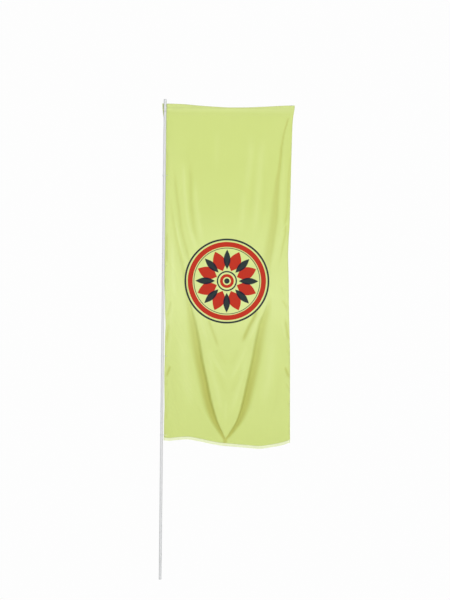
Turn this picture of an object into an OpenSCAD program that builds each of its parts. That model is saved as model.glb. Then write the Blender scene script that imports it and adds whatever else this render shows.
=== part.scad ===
// Portrait banner flag with a swivelling arm on a sectional tube pole.
// The cloth hangs from a horizontal arm threaded through its top sleeve. The arm is clamped in a
// swivel head that turns on a spindle at the top of the pole, and four bungee ties with toggle
// balls hold the hoist edge to the pole while they slide round it.
// Units are millimetres. +Z is up, the pole stands on the origin, the banner lies along +X and
// faces -Y.

/* [Pole] */
// Outside diameter of the pole tubes
pole_od = 25; // [24:0.5:26]
// Wall thickness of the pole tubes
pole_wall = 2; // [1.8:0.1:2.2]
// Height of the first tube joint above the ground end
joint_1_z = 1460; // [1400:10:1480]
// Height of the second tube joint above the ground end
joint_2_z = 2870; // [2860:10:2900]
// Height of the top of the upper tube
pole_top_z = 4180; // [4100:10:4260]
// Diameter of the plug that fits a ground socket
foot_d = 24; // [23.5:0.1:24.4]
// Exposed length of the plug that fits a ground socket
foot_len = 150; // [120:5:160]
// Length of the sleeve inside each tube joint
ferrule_len = 240; // [200:10:240]

/* [Snap buttons] */
// Diameter of each snap button
button_d = 6; // [5:0.5:7]
// How far each button stands out of the tube
button_proud = 2; // [1.5:0.1:2.2]
// Height of each button above its tube joint
button_up = 42; // [36:1:50]

/* [Swivel head] */
// Outside diameter of the swivel hub
hub_od = 26; // [25.5:0.1:26.4]
// Diameter of the spindle journal
journal_d = 12; // [11:0.5:12.5]
// Running clearance of the journal in its bushes, on the radius
journal_gap = 0.05; // [0.03:0.01:0.08]

/* [Arm] */
// Diameter of the banner arm
arm_d = 12; // [11:0.5:12]
// Wall of the banner arm tube
arm_wall = 1.5; // [1.2:0.1:2]
// Distance of the arm axis behind the pole axis
arm_y = 22; // [22:0.5:23]
// Free end of the arm
arm_tip_x = 1144; // [1000:4:1200]

/* [Banner] */
// How far the top edge sags between its corners
top_sag = 27; // [24:1:27]
// Thickness of the cloth solid
cloth_t = 0.9; // [0.8:0.1:1]
// Depth of the two large folds that meet at the middle of the bottom hem
fold_depth = 55; // [30:1:60]
// Number of columns in the cloth mesh
cloth_cols = 34; // [24:1:34]

/* [Ties] */
// Thickness of the elastic cord of each tie
cord_d = 3.5; // [3:0.25:3.5]
// Diameter of each toggle ball
ball_d = 26; // [22:0.5:27]

/* [Hidden] */
$fn = 48;
lift = pole_top_z - 4180;       // the head, the banner and the ties move with the pole top
wide = arm_tip_x / 1144;        // the banner keeps its folds in proportion to the arm
join = 0.01;                    // overlap of parts that are fused

pole_r = pole_od / 2;
bore_r = pole_r - pole_wall;
insert_r = bore_r - 0.05;       // ferrule, foot plug and spindle inside a tube
ferrule_bore_r = insert_r - 2;
rivet_r = 2;
rivet_hole_r = rivet_r + 0.05;
rivet_drop = 60;                // ferrule rivets below their joint
foot_rivet_z = foot_len + 40;
spindle_rivet_z = pole_top_z - 40;

arm_r = arm_d / 2;
arm_bore_r = arm_r - arm_wall;
arm_z = pole_top_z + 31;
corner_hoist_z = pole_top_z + 72;
corner_fly_z = pole_top_z + 66;

// Heights of the four ties, and how far each ball sits to the side of the pole axis
tie_z = [for (z = [3608, 2800, 1996, 1290]) z + lift];
ball_x = [-5.5, -0.5, -0.5, -0.5];

// ---------------------------------------------------------------- cloth surface
// Heights in this section are for a pole top at 4180, and fall() and climb() add the lift.
function clamp01(t) = max(0, min(1, t));
function smooth(t) = let (c = clamp01(t)) c * c * (3 - 2 * c);
function bell(offset, width) = exp(-(offset * offset) / (width * width));
function sum(values) = values * [for (v = values) 1];

// Share of the way down from start, or up from it, from 0 to 1; then the same with eased ends
function fall(z, start, run) = clamp01((start + lift - z) / run);
function climb(z, start, run) = clamp01((z - lift - start) / run);
function below(z, start, run) = smooth(fall(z, start, run));
function above(z, start, run) = smooth(climb(z, start, run));

// Sideways shifts of the side edges on the way down: [shift in x, height it starts, run]
// Hoist edge: a tab behind the pole at the top, then beside the pole
hoist_top_x = -26;
hoist_shifts = [[33, 4252, 290], [15, 2750, 700]];
// Fly edge: pulled out at the top corner, drawn in at the middle, plumb below
fly_top_x = arm_tip_x + 13;
fly_shifts = [[-20, 4246, 170], [-15, 4080, 1500], [30, 2600, 1300]];
function shifted(shifts, z) = sum([for (s = shifts) s[0] * below(z, s[1], s[2])]);
function hoist_x(z) = hoist_top_x + shifted(hoist_shifts, z);
function fly_x(z) = fly_top_x + shifted(fly_shifts, z);
// u runs from 0 at the hoist edge to 1 at the fly edge
function at_x(u, z) = hoist_x(z) + (fly_x(z) - hoist_x(z)) * u;

// Top fold of the sleeve
function top_z(u) =
    corner_hoist_z + (corner_fly_z - corner_hoist_z) * u - top_sag * 4 * u * (1 - u);

// Bottom edge: it dips between its corners, with a small bump near the hoist
bottom_hoist_z = lift + 1236;
bottom_dip = 62;
bottom_bump = 10;
bottom_slope = 5;
function bottom_z(u) = bottom_hoist_z - bottom_dip * sin(180 * pow(u, 1.9))
    + bottom_bump * bell(u - 0.15, 0.1) - bottom_slope * u;

// The two large folds run in from the sides and meet near the middle of the bottom hem
function fold_rise(z) = climb(z, 1255, 1170);
function left_fold_x(z) = wide * (559 - 333 * pow(fold_rise(z), 0.79));
function right_fold_x(z) = wide * (566 + 359 * pow(fold_rise(z), 0.58));
// One upper fold falls from the fly corner, and the pleats fan out from the hoist corner
function corner_fold_x(z) = wide * (1130 - 217 * pow(fall(z, 4200, 1274), 0.75));
function pleat_x(z, k) = wide * (20 + k * (60 + 65 * pow(fall(z, 4100, 1300), 1.6)));
// Pleats: [place in the fan, width, height where it starts]
pleats = [[1, 22, 3750], [2, 26, 3700], [3, 30, 3650]];

// Depths of the features, in Y; positive is backward
sheet_top_y = 17;
sheet_step = 1.5;               // forward step just below the arm
large_fold = 0.62 * fold_depth;
belly_depth = 0.5 * fold_depth;
corner_fold = 0.4 * fold_depth;
pleat_depth = 0.22 * fold_depth;
ripple_depth = 8;

// Distance of the cloth behind the pole axis at a place on the sheet
function sheet_y(x, z) =
    let (// fade out toward the sleeve, the two side edges and the upper half
         hang = below(z, 4150, 500),
         edges = smooth((x - 60) / 130) * smooth((arm_tip_x + 21 - x) / 60),
         low = below(z, 3000, 700),
         fold_width = 34 + 40 * fold_rise(z),
         large = low * (bell(x - left_fold_x(z), fold_width)
                        + bell(x - right_fold_x(z), fold_width)),
         belly = low * bell(x - 560 * wide, 330) * above(z, 1105, 500),
         corner = bell(x - corner_fold_x(z), 38) * below(z, 4130, 300) * above(z, 2650, 400),
         fan = above(z, 2450, 350)
               * sum([for (p = pleats) bell(x - pleat_x(z, p[0]), p[1]) * below(z, p[2], 300)]),
         ripple = low * sin(x * 0.9 + 20))
    sheet_top_y - sheet_step * below(z, 4150, 40)
    + edges * hang * (large_fold * large - belly_depth * belly + corner_fold * corner
                      + pleat_depth * fan + ripple_depth * ripple);

// ---------------------------------------------------------------- thick strip
// Unit vector across a line of [x, y, z] points at point j, square to its run in the YZ plane
function across(line, j) =
    let (run = line[min(len(line) - 1, j + 1)] - line[max(0, j - 1)])
    [0, -run.z, run.y] / norm([0, run.y, run.z]);

// Closed strip through columns of points, thickened half to each side
module strip(columns, thickness) {
    last = len(columns) - 1;
    n = len(columns[0]);
    points = [for (line = columns) for (s = [-1, 1]) for (j = [0:n - 1])
        line[j] + across(line, j) * s * thickness / 2];
    // Point j of column i, on side s (0 or 1)
    function id(i, s, j) = (i * 2 + s) * n + j;
    faces = [
        // the two sides
        for (i = [0:last - 1]) for (j = [0:n - 2]) each [
            [id(i, 0, j), id(i + 1, 0, j), id(i + 1, 0, j + 1)],
            [id(i, 0, j), id(i + 1, 0, j + 1), id(i, 0, j + 1)],
            [id(i, 1, j), id(i + 1, 1, j + 1), id(i + 1, 1, j)],
            [id(i, 1, j), id(i, 1, j + 1), id(i + 1, 1, j + 1)]],
        // the edges along the first and last points
        for (i = [0:last - 1]) each [
            [id(i, 0, 0), id(i, 1, 0), id(i + 1, 1, 0)],
            [id(i, 0, 0), id(i + 1, 1, 0), id(i + 1, 0, 0)],
            [id(i, 0, n - 1), id(i + 1, 1, n - 1), id(i, 1, n - 1)],
            [id(i, 0, n - 1), id(i + 1, 0, n - 1), id(i + 1, 1, n - 1)]],
        // the edges along the first and last columns
        for (j = [0:n - 2]) each [
            [id(0, 0, j), id(0, 1, j + 1), id(0, 1, j)],
            [id(0, 0, j), id(0, 0, j + 1), id(0, 1, j + 1)],
            [id(last, 0, j), id(last, 1, j), id(last, 1, j + 1)],
            [id(last, 0, j), id(last, 1, j + 1), id(last, 0, j + 1)]]];
    polyhedron(points = points, faces = faces, convexity = 6);
}

// ---------------------------------------------------------------- banner
seam_z = arm_z - 48;
sleeve_r = arm_r + 1.3;
hem_h = 20;
edge_y = 15.5;                  // cloth at the hoist edge
eyelet_hole_r = 5.2;
boss_opening = [27.2, 32, 26];
column_u = [for (i = [0:cloth_cols]) i / cloth_cols];

// Sheet rows, from the seam down. The last row is the bottom edge and the one before it the top
// of the hem tape
hem_row = 0.98;
rows = [0, 0.02, 0.05, 0.09, 0.13, 0.175, 0.22, 0.265, 0.31, 0.355, 0.4, 0.445, 0.49, 0.535, 0.58,
        0.625, 0.67, 0.715, 0.76, 0.805, 0.85, 0.89, 0.925, 0.955, hem_row, 1];
function row_z(u, row) =
    row == 1 ? bottom_z(u) : seam_z + (bottom_z(u) + hem_h - seam_z) * row / hem_row;

// Outline of the sleeve in [y, z]: up the front of the arm, over the top fold, down the back
function sleeve_path(u) =
    let (fold_z = top_z(u),
         arm_top_z = arm_z + arm_r,
         fold_w = 3.3 + 2.7 * smooth(1 - (fold_z - arm_top_z) / 22),
         // one side going up: [distance from the arm axis, z]
         half = [[sleeve_r + 0.2, arm_z - 10],
                 [sleeve_r, arm_z],
                 [sleeve_r - 1.3, arm_top_z - 1.6],
                 [fold_w, fold_z - 2.2],
                 [fold_w * 0.45, fold_z - 0.7]])
    concat([[16.6, seam_z + 8]],
           [for (p = half) [arm_y - p[0], p[1]]],
           [[arm_y, fold_z - 0.45]],
           [for (k = [len(half) - 1:-1:0]) [arm_y + half[k][0], half[k][1]]],
           [[20.4, seam_z + 12], [18.3, seam_z + 3], [18.15, seam_z - 12]]);

function sheet_path(u) =
    [for (k = [len(rows) - 1:-1:0]) let (z = row_z(u, rows[k])) [sheet_y(at_x(u, z), z), z]];

function tie_hole_x(z) = hoist_x(z) + 17;

// Puts children at each eyelet, with their Z axis pointing backward
module at_eyelets(y) {
    for (z = tie_z) translate([tie_hole_x(z), y, z]) rotate([-90, 0, 0]) children();
}

module eyelet_holes() {
    at_eyelets(0) cylinder(h = 30, r = eyelet_hole_r);
}

module banner_cloth() {
    columns = [for (u = column_u)
        [for (p = concat(sheet_path(u), sleeve_path(u))) [at_x(u, p[1]), p[0], p[1]]]];
    color("#d3e187") difference() {
        strip(columns, cloth_t);
        // opening round the arm boss
        translate([-boss_opening.x / 2, 5, arm_z - boss_opening.z / 2]) cube(boss_opening);
        eyelet_holes();
    }
}

// Binding folded round the bottom edge
module bottom_hem_tape() {
    gap = 1;                    // from the middle of the cloth to the middle of the tape
    function hem_path(u) =
        let (low_z = bottom_z(u),
             high_z = low_z + hem_h,
             low_y = sheet_y(at_x(u, low_z), low_z),
             high_y = sheet_y(at_x(u, high_z), high_z))
        [[high_y - gap, high_z], [low_y - gap, low_z], [low_y - gap * 0.7, low_z - 1],
         [low_y, low_z - 1.4],
         [low_y + gap * 0.7, low_z - 1], [low_y + gap, low_z], [high_y + gap, high_z]];
    columns = [for (u = column_u)
        [for (p = hem_path(u)) [at_x(u, max(p[1], bottom_z(u))), p[0], p[1]]]];
    color("#e6eebc") strip(columns, 0.6);
}

// Webbing behind the hoist edge, which it follows
module hoist_webbing() {
    top = pole_top_z - 82;
    bottom = bottom_z(0) + 25;
    steps = 28;
    levels = [for (k = [0:steps]) bottom + (top - bottom) * k / steps];
    outline = concat([for (z = levels) [hoist_x(z) + 0.5, z]],
                     [for (k = [steps:-1:0]) [hoist_x(levels[k]) + 30, levels[k]]]);
    color("#e9edd2") difference() {
        translate([0, edge_y + 1.35, 0]) rotate([90, 0, 0])
            linear_extrude(height = 0.8) polygon(outline);
        eyelet_holes();
    }
}

// Eyelets: a barrel with a rolled flange in front, and a washer behind. Outlines are
// [radius, distance behind the cloth]
module hoist_eyelets() {
    color("#c9ccd0") at_eyelets(edge_y) rotate_extrude()
        polygon([[4.2, -1.5], [5.0, -1.9], [7.6, -1.9], [9.2, -1.1],
                 [9.2, -0.65], [5.0, -0.65], [5.0, 2.4], [4.2, 2.4]]);
}

module eyelet_washers() {
    color("#c9ccd0") at_eyelets(edge_y) rotate_extrude()
        polygon([[5.05, 1.45], [9.2, 1.45], [9.2, 1.8], [7.6, 2.5], [5.05, 2.5]]);
}

// ---------------------------------------------------------------- ties
// Each cord is a closed belt round three circles: the pole, the eyelet and the inside of its ball
pole_bend_r = pole_r + cord_d / 2 + 0.35;
eyelet_bend_r = 6.5;
ball_bend_r = 2.5;
ball_turn = 105;                // turn of the sphere facets about Z

function direction(angle) = [cos(angle), sin(angle)];
function ball_centre(k) = [ball_x[k], pole_r + ball_d / 2 + 3.5];
// The circles as [centre, radius]
function belt_circles(k) = [
    [[0, 0], pole_bend_r],
    [[tie_hole_x(tie_z[k]) - eyelet_bend_r, edge_y + 0.4], eyelet_bend_r],
    [ball_centre(k) - [0, ball_bend_r], ball_bend_r]];

// Point of the belt whose outward normal is the given one
function reach(circle, normal) = circle[0] * normal + circle[1];
function belt_point(circles, normal) =
    let (furthest = max([for (c = circles) reach(c, normal)]),
         touched = [for (c = circles) if (reach(c, normal) > furthest - 1e-9) c][0])
    touched[0] + touched[1] * normal;

// Angle of the outward normal where the belt leaves one circle for another: turn is -1 if it
// goes on anticlockwise
function leave_angle(from, to, turn) =
    let (gap = to[0] - from[0])
    atan2(gap.y, gap.x) + turn * acos((from[1] - to[1]) / norm(gap));

module tie_cord(k) {
    stations = 60;
    sides = 8;
    cord_r = cord_d / 2;
    circles = belt_circles(k);
    points = [for (i = [0:stations - 1])
        let (normal = direction(i * 360 / stations),
             centre = belt_point(circles, normal))
        for (j = [0:sides - 1])
            let (section = cord_r * direction(j * 360 / sides),
                 place = centre + normal * section.x)
            [place.x, place.y, tie_z[k] + section.y]];
    faces = [for (i = [0:stations - 1]) for (j = [0:sides - 1])
        let (here = i * sides,
             next = ((i + 1) % stations) * sides,
             j_next = (j + 1) % sides)
        each [[here + j, here + j_next, next + j_next],
              [here + j, next + j_next, next + j]]];
    color("#dfe1e2") polyhedron(points = points, faces = faces, convexity = 4);
}

// Hole for the run of cord from one circle to another
module cord_hole(from, to, turn) {
    angle = leave_angle(from, to, turn);
    translate(concat(from[0] + from[1] * direction(angle), 0))
        rotate([0, 0, angle - 90 * turn]) rotate([0, 90, 0])
            translate([0, 0, -0.5]) cylinder(h = ball_d, r = cord_d / 2 + 0.35);
}

module toggle_ball(k) {
    circles = belt_circles(k);
    inside = circles[2];
    color("#e8e9ea") translate([0, 0, tie_z[k]]) difference() {
        translate(concat(ball_centre(k), 0)) rotate([0, 0, ball_turn]) sphere(d = ball_d);
        // hollow for the bend of the cord
        translate(concat(inside[0], 0)) rotate([0, 0, ball_turn])
            sphere(r = ball_bend_r + cord_d / 2 + 2);
        cord_hole(inside, circles[0], -1);
        cord_hole(inside, circles[1], 1);
    }
}

// ---------------------------------------------------------------- pole
module disc(z, h, r) {
    translate([0, 0, z]) cylinder(h = h, r = r);
}

// A tube whose outer ends are eased, so that each joint shows as a fine groove
module tube(z0, z1) {
    ease = 0.6;
    difference() {
        union() {
            translate([0, 0, z0]) cylinder(h = ease, r1 = pole_r - ease, r2 = pole_r);
            disc(z0 + ease, z1 - z0 - 2 * ease, pole_r);
            translate([0, 0, z1 - ease]) cylinder(h = ease, r1 = pole_r, r2 = pole_r - ease);
        }
        disc(z0 - 1, z1 - z0 + 2, bore_r);
    }
}

// Cross hole along Y through both walls
module rivet_hole(z) {
    translate([0, -pole_r - 5, z]) rotate([-90, 0, 0])
        cylinder(h = 2 * pole_r + 10, r = rivet_hole_r);
}

// Hole through the wall on the -X side
module button_hole(joint_z) {
    translate([-pole_r - 5, 0, joint_z + button_up]) rotate([0, 90, 0])
        cylinder(h = pole_r + 5, r = button_d / 2 + 0.08);
}

module foot_plug() {
    chamfer = 1.5;
    color("#cfd1d3") difference() {
        union() {
            cylinder(h = chamfer, r1 = foot_d / 2 - chamfer, r2 = foot_d / 2);
            disc(chamfer, foot_len - chamfer, foot_d / 2);
            disc(foot_len - join, 80, insert_r);
        }
        rivet_hole(foot_rivet_z);
    }
}

module pole_lower() {
    color("#d8dadb") difference() {
        tube(foot_len + 0.02, joint_1_z);
        rivet_hole(foot_rivet_z);
        rivet_hole(joint_1_z - rivet_drop);
    }
}

// Tube that starts just above a joint, with its button hole
module upper_section(joint_z, top_z, rivet_z) {
    color("#d8dadb") difference() {
        tube(joint_z + 0.1, top_z);
        button_hole(joint_z);
        rivet_hole(rivet_z);
    }
}

module pole_middle() {
    upper_section(joint_1_z, joint_2_z, joint_2_z - rivet_drop);
}

module pole_upper() {
    upper_section(joint_2_z, pole_top_z, spindle_rivet_z);
}

module ferrule(joint_z) {
    taper = 3;
    bottom = joint_z - ferrule_len / 2;
    color("#b9bcc0") difference() {
        translate([0, 0, bottom]) union() {
            cylinder(h = ferrule_len - taper, r = insert_r);
            translate([0, 0, ferrule_len - taper])
                cylinder(h = taper, r1 = insert_r, r2 = insert_r - 1);
        }
        disc(bottom - 1, ferrule_len + 2, ferrule_bore_r);
        button_hole(joint_z);
        rivet_hole(joint_z - rivet_drop);
    }
}

// Front and back rivets. Each shank starts at a distance from the pole axis and ends in a domed
// head outside; an upset one also has a tail inside
module rivet_pair(z, start, upset = false) {
    for (s = [-1, 1]) translate([0, 0, z]) rotate([-90 * s, 0, 0]) {
        disc(start, pole_r - start + join, rivet_r);
        translate([0, 0, pole_r]) rotate_extrude()
            polygon([[0, 0], [3.6, 0], [3.45, 0.45], [2.9, 0.85], [1.8, 1.15], [0, 1.3]]);
        if (upset) disc(start - 1.3, 1.5, 2.7);
    }
}

module ferrule_rivets() {
    color("#c4c6c8") for (joint_z = [joint_1_z, joint_2_z])
        rivet_pair(joint_z - rivet_drop, ferrule_bore_r - 0.8, upset = true);
}

module foot_rivets() {
    color("#c4c6c8") rivet_pair(foot_rivet_z, 1);
}

module spindle_rivets() {
    color("#c4c6c8") rivet_pair(spindle_rivet_z, 1);
}

// Bent strip of spring steel: one arm lies on the far wall and one carries the button
module spring_clip(joint_z) {
    t = 0.6;
    width = 6;
    height = 42;
    far = sqrt(ferrule_bore_r * ferrule_bore_r - width * width / 4) - 0.02;
    near = -ferrule_bore_r + 3.1;
    color("#8f9296") translate([0, width / 2, joint_z + button_up - 34]) rotate([90, 0, 0])
        linear_extrude(height = width)
            polygon([[near, height], [near, 6], [near + 3, 1], [near + 6, 0],
                     [far - 3, 0], [far, 4], [far, height],
                     [far - t, height], [far - t, 4.2], [far - 3.2, t],
                     [near + 6.2, t], [near + 3.4, 1.5], [near + t, 6.2], [near + t, height]]);
}

// Flanged button that points along -X
module snap_button(joint_z) {
    r = button_d / 2;
    tip = pole_r + button_proud;
    base = ferrule_bore_r - 3;
    color("#6f7276") translate([0, 0, joint_z + button_up]) rotate([0, -90, 0]) rotate_extrude()
        polygon([[0, base], [r + 1, base], [r + 1, base + 1.2], [r, base + 1.2], [r, tip - 1.2],
                 [r - 0.35, tip - 0.5], [r - 1.1, tip - 0.1], [0, tip]]);
}

// ---------------------------------------------------------------- swivel head
hub_r = hub_od / 2;
journal_r = journal_d / 2;
shoulder_z = pole_top_z + 6;
washer_t = 1.5;
flange_t = 2;
bush_r = 8;                     // bore of the hub
bush_len = 20;
body_h = 54;                    // full-width part of the hub, below its neck
neck_r = 11.5;
hub_z0 = shoulder_z + washer_t + 0.1 + flange_t + 0.02;
hub_z1 = hub_z0 + 60;
journal_top = hub_z1 + flange_t + 0.3;
screw_r = 2.05;
screw_hole_r = 2.1;
set_screw_x = [-6, 6];

module head_spindle() {
    color("#b9bcc0") difference() {
        union() {
            disc(pole_top_z - 80, 80.1, insert_r);
            disc(pole_top_z + 0.02, shoulder_z - pole_top_z - 0.02, pole_r);
            disc(shoulder_z - join, journal_top - shoulder_z + join, journal_r);
        }
        disc(journal_top - 16, 20, screw_hole_r);
        rivet_hole(spindle_rivet_z);
    }
}

module washer(z, outer_r, inner_r) {
    translate([0, 0, z]) difference() {
        cylinder(h = washer_t, r = outer_r);
        disc(-1, washer_t + 2, inner_r);
    }
}

module thrust_washer() {
    color("#f0efe9") washer(shoulder_z, 11.8, journal_r + 0.15);
}

module retaining_washer() {
    color("#c4c6c8") washer(journal_top + 0.02, 9, 2.7);
}

// Flanged bush in the hub end at z. The flange lies outside the hub
module bush(z, at_top) {
    barrel_r = bush_r - 0.01;
    color("#f0efe9") difference() {
        union() {
            disc(at_top ? z - bush_len : z, bush_len, barrel_r);
            disc(at_top ? z + 0.01 : z - flange_t - 0.01, flange_t, 10.8);
            // joins the barrel to the flange
            disc(z - 0.5, 1, barrel_r);
        }
        disc(z - bush_len - 5, 2 * bush_len + 10, journal_r + journal_gap);
    }
}

module lower_bush() {
    bush(hub_z0, at_top = false);
}

module upper_bush() {
    bush(hub_z1, at_top = true);
}

// Cylinder on the arm axis that starts at x and runs along +X
module arm_cylinder(x, h, r) {
    translate([x, arm_y, arm_z]) rotate([0, 90, 0]) cylinder(h = h, r = r);
}

module swivel_hub() {
    web = 16;
    web_y = 4;
    color("#d4d6d8") difference() {
        union() {
            disc(hub_z0, body_h, hub_r);
            disc(hub_z0 + body_h - join, hub_z1 - hub_z0 - body_h + join, neck_r);
            // web and boss that carry the arm behind the pole
            translate([-web / 2, web_y, arm_z - web / 2]) cube([web, arm_y - web_y, web]);
            arm_cylinder(-12, 24, 10);
        }
        disc(hub_z0 - 1, hub_z1 - hub_z0 + 2, bush_r);
        arm_cylinder(-20, 40, arm_r + 0.05);
        for (x = set_screw_x)
            translate([x, arm_y, arm_z]) rotate([-90, 0, 0]) cylinder(h = 20, r = screw_hole_r);
    }
}

// Domed cap that fits over the neck of the hub
module head_cap() {
    bottom = hub_z0 + body_h + 0.05;
    top = pole_top_z + 110;
    color("#cfd1d3") difference() {
        rotate_extrude()
            polygon([[0, bottom], [hub_r, bottom], [hub_r, top - 7], [hub_r - 0.7, top - 4],
                     [hub_r - 2.6, top - 1.7], [hub_r - 6, top - 0.4], [0, top]]);
        disc(bottom - 1, hub_z1 - bottom + 1 + join, neck_r + 0.02);
        disc(hub_z1, top - 5 - hub_z1, 11.2);
    }
}

module retaining_screw() {
    head_z = journal_top + washer_t + 0.04;
    color("#8f9296") difference() {
        union() {
            disc(head_z, 3.4, 4.5);
            disc(head_z - 14, 14 + join, screw_r);
        }
        translate([0, 0, head_z + 1.4]) cylinder(h = 3, r = 1.75, $fn = 6);
    }
}

// ---------------------------------------------------------------- arm
module banner_arm() {
    root_x = -17.5;
    color("#c8cbcf") difference() {
        arm_cylinder(root_x, arm_tip_x - root_x, arm_r);
        arm_cylinder(root_x - 1, arm_tip_x + 20, arm_bore_r);
    }
}

module arm_set_screws() {
    color("#6f7276") for (x = set_screw_x)
        translate([x, arm_y + arm_r + 0.02, arm_z]) rotate([-90, 0, 0]) difference() {
            cylinder(h = 5, r = screw_r);
            translate([0, 0, 2.6]) cylinder(h = 3, r = 1.25, $fn = 6);
        }
}

// Upright lug that spreads a top corner of the sleeve, h tall above the arm axis
module shoe_lug(x, width, h) {
    low_r = 2;
    top_r = 2.5;
    low_x = width / 2 - low_r;
    top_x = width / 2 - top_r;
    translate([x, arm_y, arm_z]) rotate([90, 0, 0])
        linear_extrude(height = 4.4, center = true) hull() {
            translate([-low_x, -arm_r + low_r]) circle(r = low_r, $fn = 32);
            translate([low_x, -arm_r + low_r]) circle(r = low_r, $fn = 32);
            translate([-top_x, h - top_r]) circle(r = top_r, $fn = 32);
            translate([top_x, h - top_r]) circle(r = top_r, $fn = 32);
        }
}

// Each shoe has a lug and a plug for the arm tube
module arm_root_shoe() {
    color("#4c4f52") {
        shoe_lug(-20.8, 6.4, corner_hoist_z - arm_z - 2.6);
        arm_cylinder(-18, 24, arm_bore_r - 0.03);
    }
}

module arm_tip_shoe() {
    color("#4c4f52") {
        shoe_lug(arm_tip_x + 5.1, 10, corner_fly_z - arm_z - 3);
        arm_cylinder(arm_tip_x - 30, 31, arm_bore_r - 0.03);
    }
}

// ---------------------------------------------------------------- assembly
foot_plug();
pole_lower();
pole_middle();
pole_upper();
ferrule(joint_1_z);  // ferrule_lower
ferrule(joint_2_z);  // ferrule_upper
ferrule_rivets();
foot_rivets();
spring_clip(joint_1_z);  // spring_clip_lower
spring_clip(joint_2_z);  // spring_clip_upper
snap_button(joint_1_z);  // snap_button_lower
snap_button(joint_2_z);  // snap_button_upper
head_spindle();
spindle_rivets();
thrust_washer();
retaining_washer();
retaining_screw();
swivel_hub();
lower_bush();
upper_bush();
head_cap();
banner_arm();
arm_set_screws();
arm_root_shoe();
arm_tip_shoe();
banner_cloth();
bottom_hem_tape();
hoist_webbing();
hoist_eyelets();
eyelet_washers();
tie_cord(0);  // tie_cord_1
tie_cord(1);  // tie_cord_2
tie_cord(2);  // tie_cord_3
tie_cord(3);  // tie_cord_4
toggle_ball(0);  // toggle_ball_1
toggle_ball(1);  // toggle_ball_2
toggle_ball(2);  // toggle_ball_3
toggle_ball(3);  // toggle_ball_4
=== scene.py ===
"""Lime banner on a pole made in sections, hung from a top arm and four cord ties.

The pole stands on the floor along Z, through x = y = 0. The banner reaches from it towards +X,
and its front faces -Y. Shapes are worked out in millimetres and built in metres.
"""
import math

import bmesh
import bpy
import numpy as np
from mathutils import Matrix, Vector


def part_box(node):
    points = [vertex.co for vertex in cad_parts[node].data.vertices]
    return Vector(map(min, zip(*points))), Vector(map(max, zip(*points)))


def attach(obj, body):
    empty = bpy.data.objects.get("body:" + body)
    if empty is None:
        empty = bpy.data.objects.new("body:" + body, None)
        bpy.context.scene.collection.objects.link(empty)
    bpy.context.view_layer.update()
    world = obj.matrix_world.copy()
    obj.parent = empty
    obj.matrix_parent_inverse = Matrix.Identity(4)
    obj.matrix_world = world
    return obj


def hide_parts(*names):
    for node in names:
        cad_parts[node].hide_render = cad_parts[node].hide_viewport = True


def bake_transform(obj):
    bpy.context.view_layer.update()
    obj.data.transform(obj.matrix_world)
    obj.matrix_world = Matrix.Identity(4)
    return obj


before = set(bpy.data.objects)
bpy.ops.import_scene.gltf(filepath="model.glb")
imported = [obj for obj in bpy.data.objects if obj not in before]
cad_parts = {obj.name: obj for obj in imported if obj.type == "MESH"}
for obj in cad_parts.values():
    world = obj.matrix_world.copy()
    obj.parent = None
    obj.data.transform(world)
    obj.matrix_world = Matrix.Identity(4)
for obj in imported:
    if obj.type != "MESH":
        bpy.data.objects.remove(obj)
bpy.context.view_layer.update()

MM = 0.001

# =====================================================================================
# Driving sizes, mm
# =====================================================================================

TIES = [3608.0, 2800.0, 1996.0, 1290.0]    # heights of the cord ties
ARM_Y, ARM_Z, ARM_R = 22.0, 4211.0, 6.0    # axis and radius of the banner arm
SEAM_Z = 4163.0                            # where the sheet ends and the top sleeve starts
EDGE_Y = 15.5                              # depth of the cloth at the eyelets
CORD_R = 1.75                              # nominal radius of the tie cords
POLE_R = 12.5
SHEET_COLS, SHEET_ROWS = 141, 296

# Edges of the banner. Sides: (z, x). Top and bottom: (x, z).
HOIST = [
    (1180, 17), (1240, 18), (1290, 20), (1425, 20), (1532, 23), (1640, 21), (1746, 19),
    (1853, 18), (1996, 20), (2070, 20), (2175, 21), (2282, 24), (2389, 19), (2496, 18),
    (2603, 14), (2800, 9), (3608, 7.5), (3900, 6), (4060, -4), (4121, -12), (4190, -22),
    (4256, -26)]
FLY = [
    (1180, 1150), (1303, 1147), (1700, 1142), (1965, 1140), (2100, 1137), (2240, 1132),
    (2375, 1128), (2510, 1124), (2645, 1122), (2780, 1118), (2912, 1114), (3045, 1117),
    (3180, 1124), (3450, 1129), (3700, 1132), (3985, 1137), (4060, 1139), (4115, 1142),
    (4150, 1146), (4186, 1152), (4222, 1157), (4256, 1158)]
TOP = [
    (-26, 4253), (6, 4253), (150, 4250), (293, 4239), (436, 4230), (579, 4224), (722, 4226),
    (865, 4233), (1008, 4242), (1079, 4246), (1158, 4248)]
BOTTOM = [
    (0, 1244), (13, 1244), (70, 1240), (120, 1246), (227, 1254), (334, 1239), (441, 1217),
    (549, 1200), (656, 1192), (763, 1184), (870, 1177), (977, 1192), (1085, 1213),
    (1138, 1232), (1160, 1237)]

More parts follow.
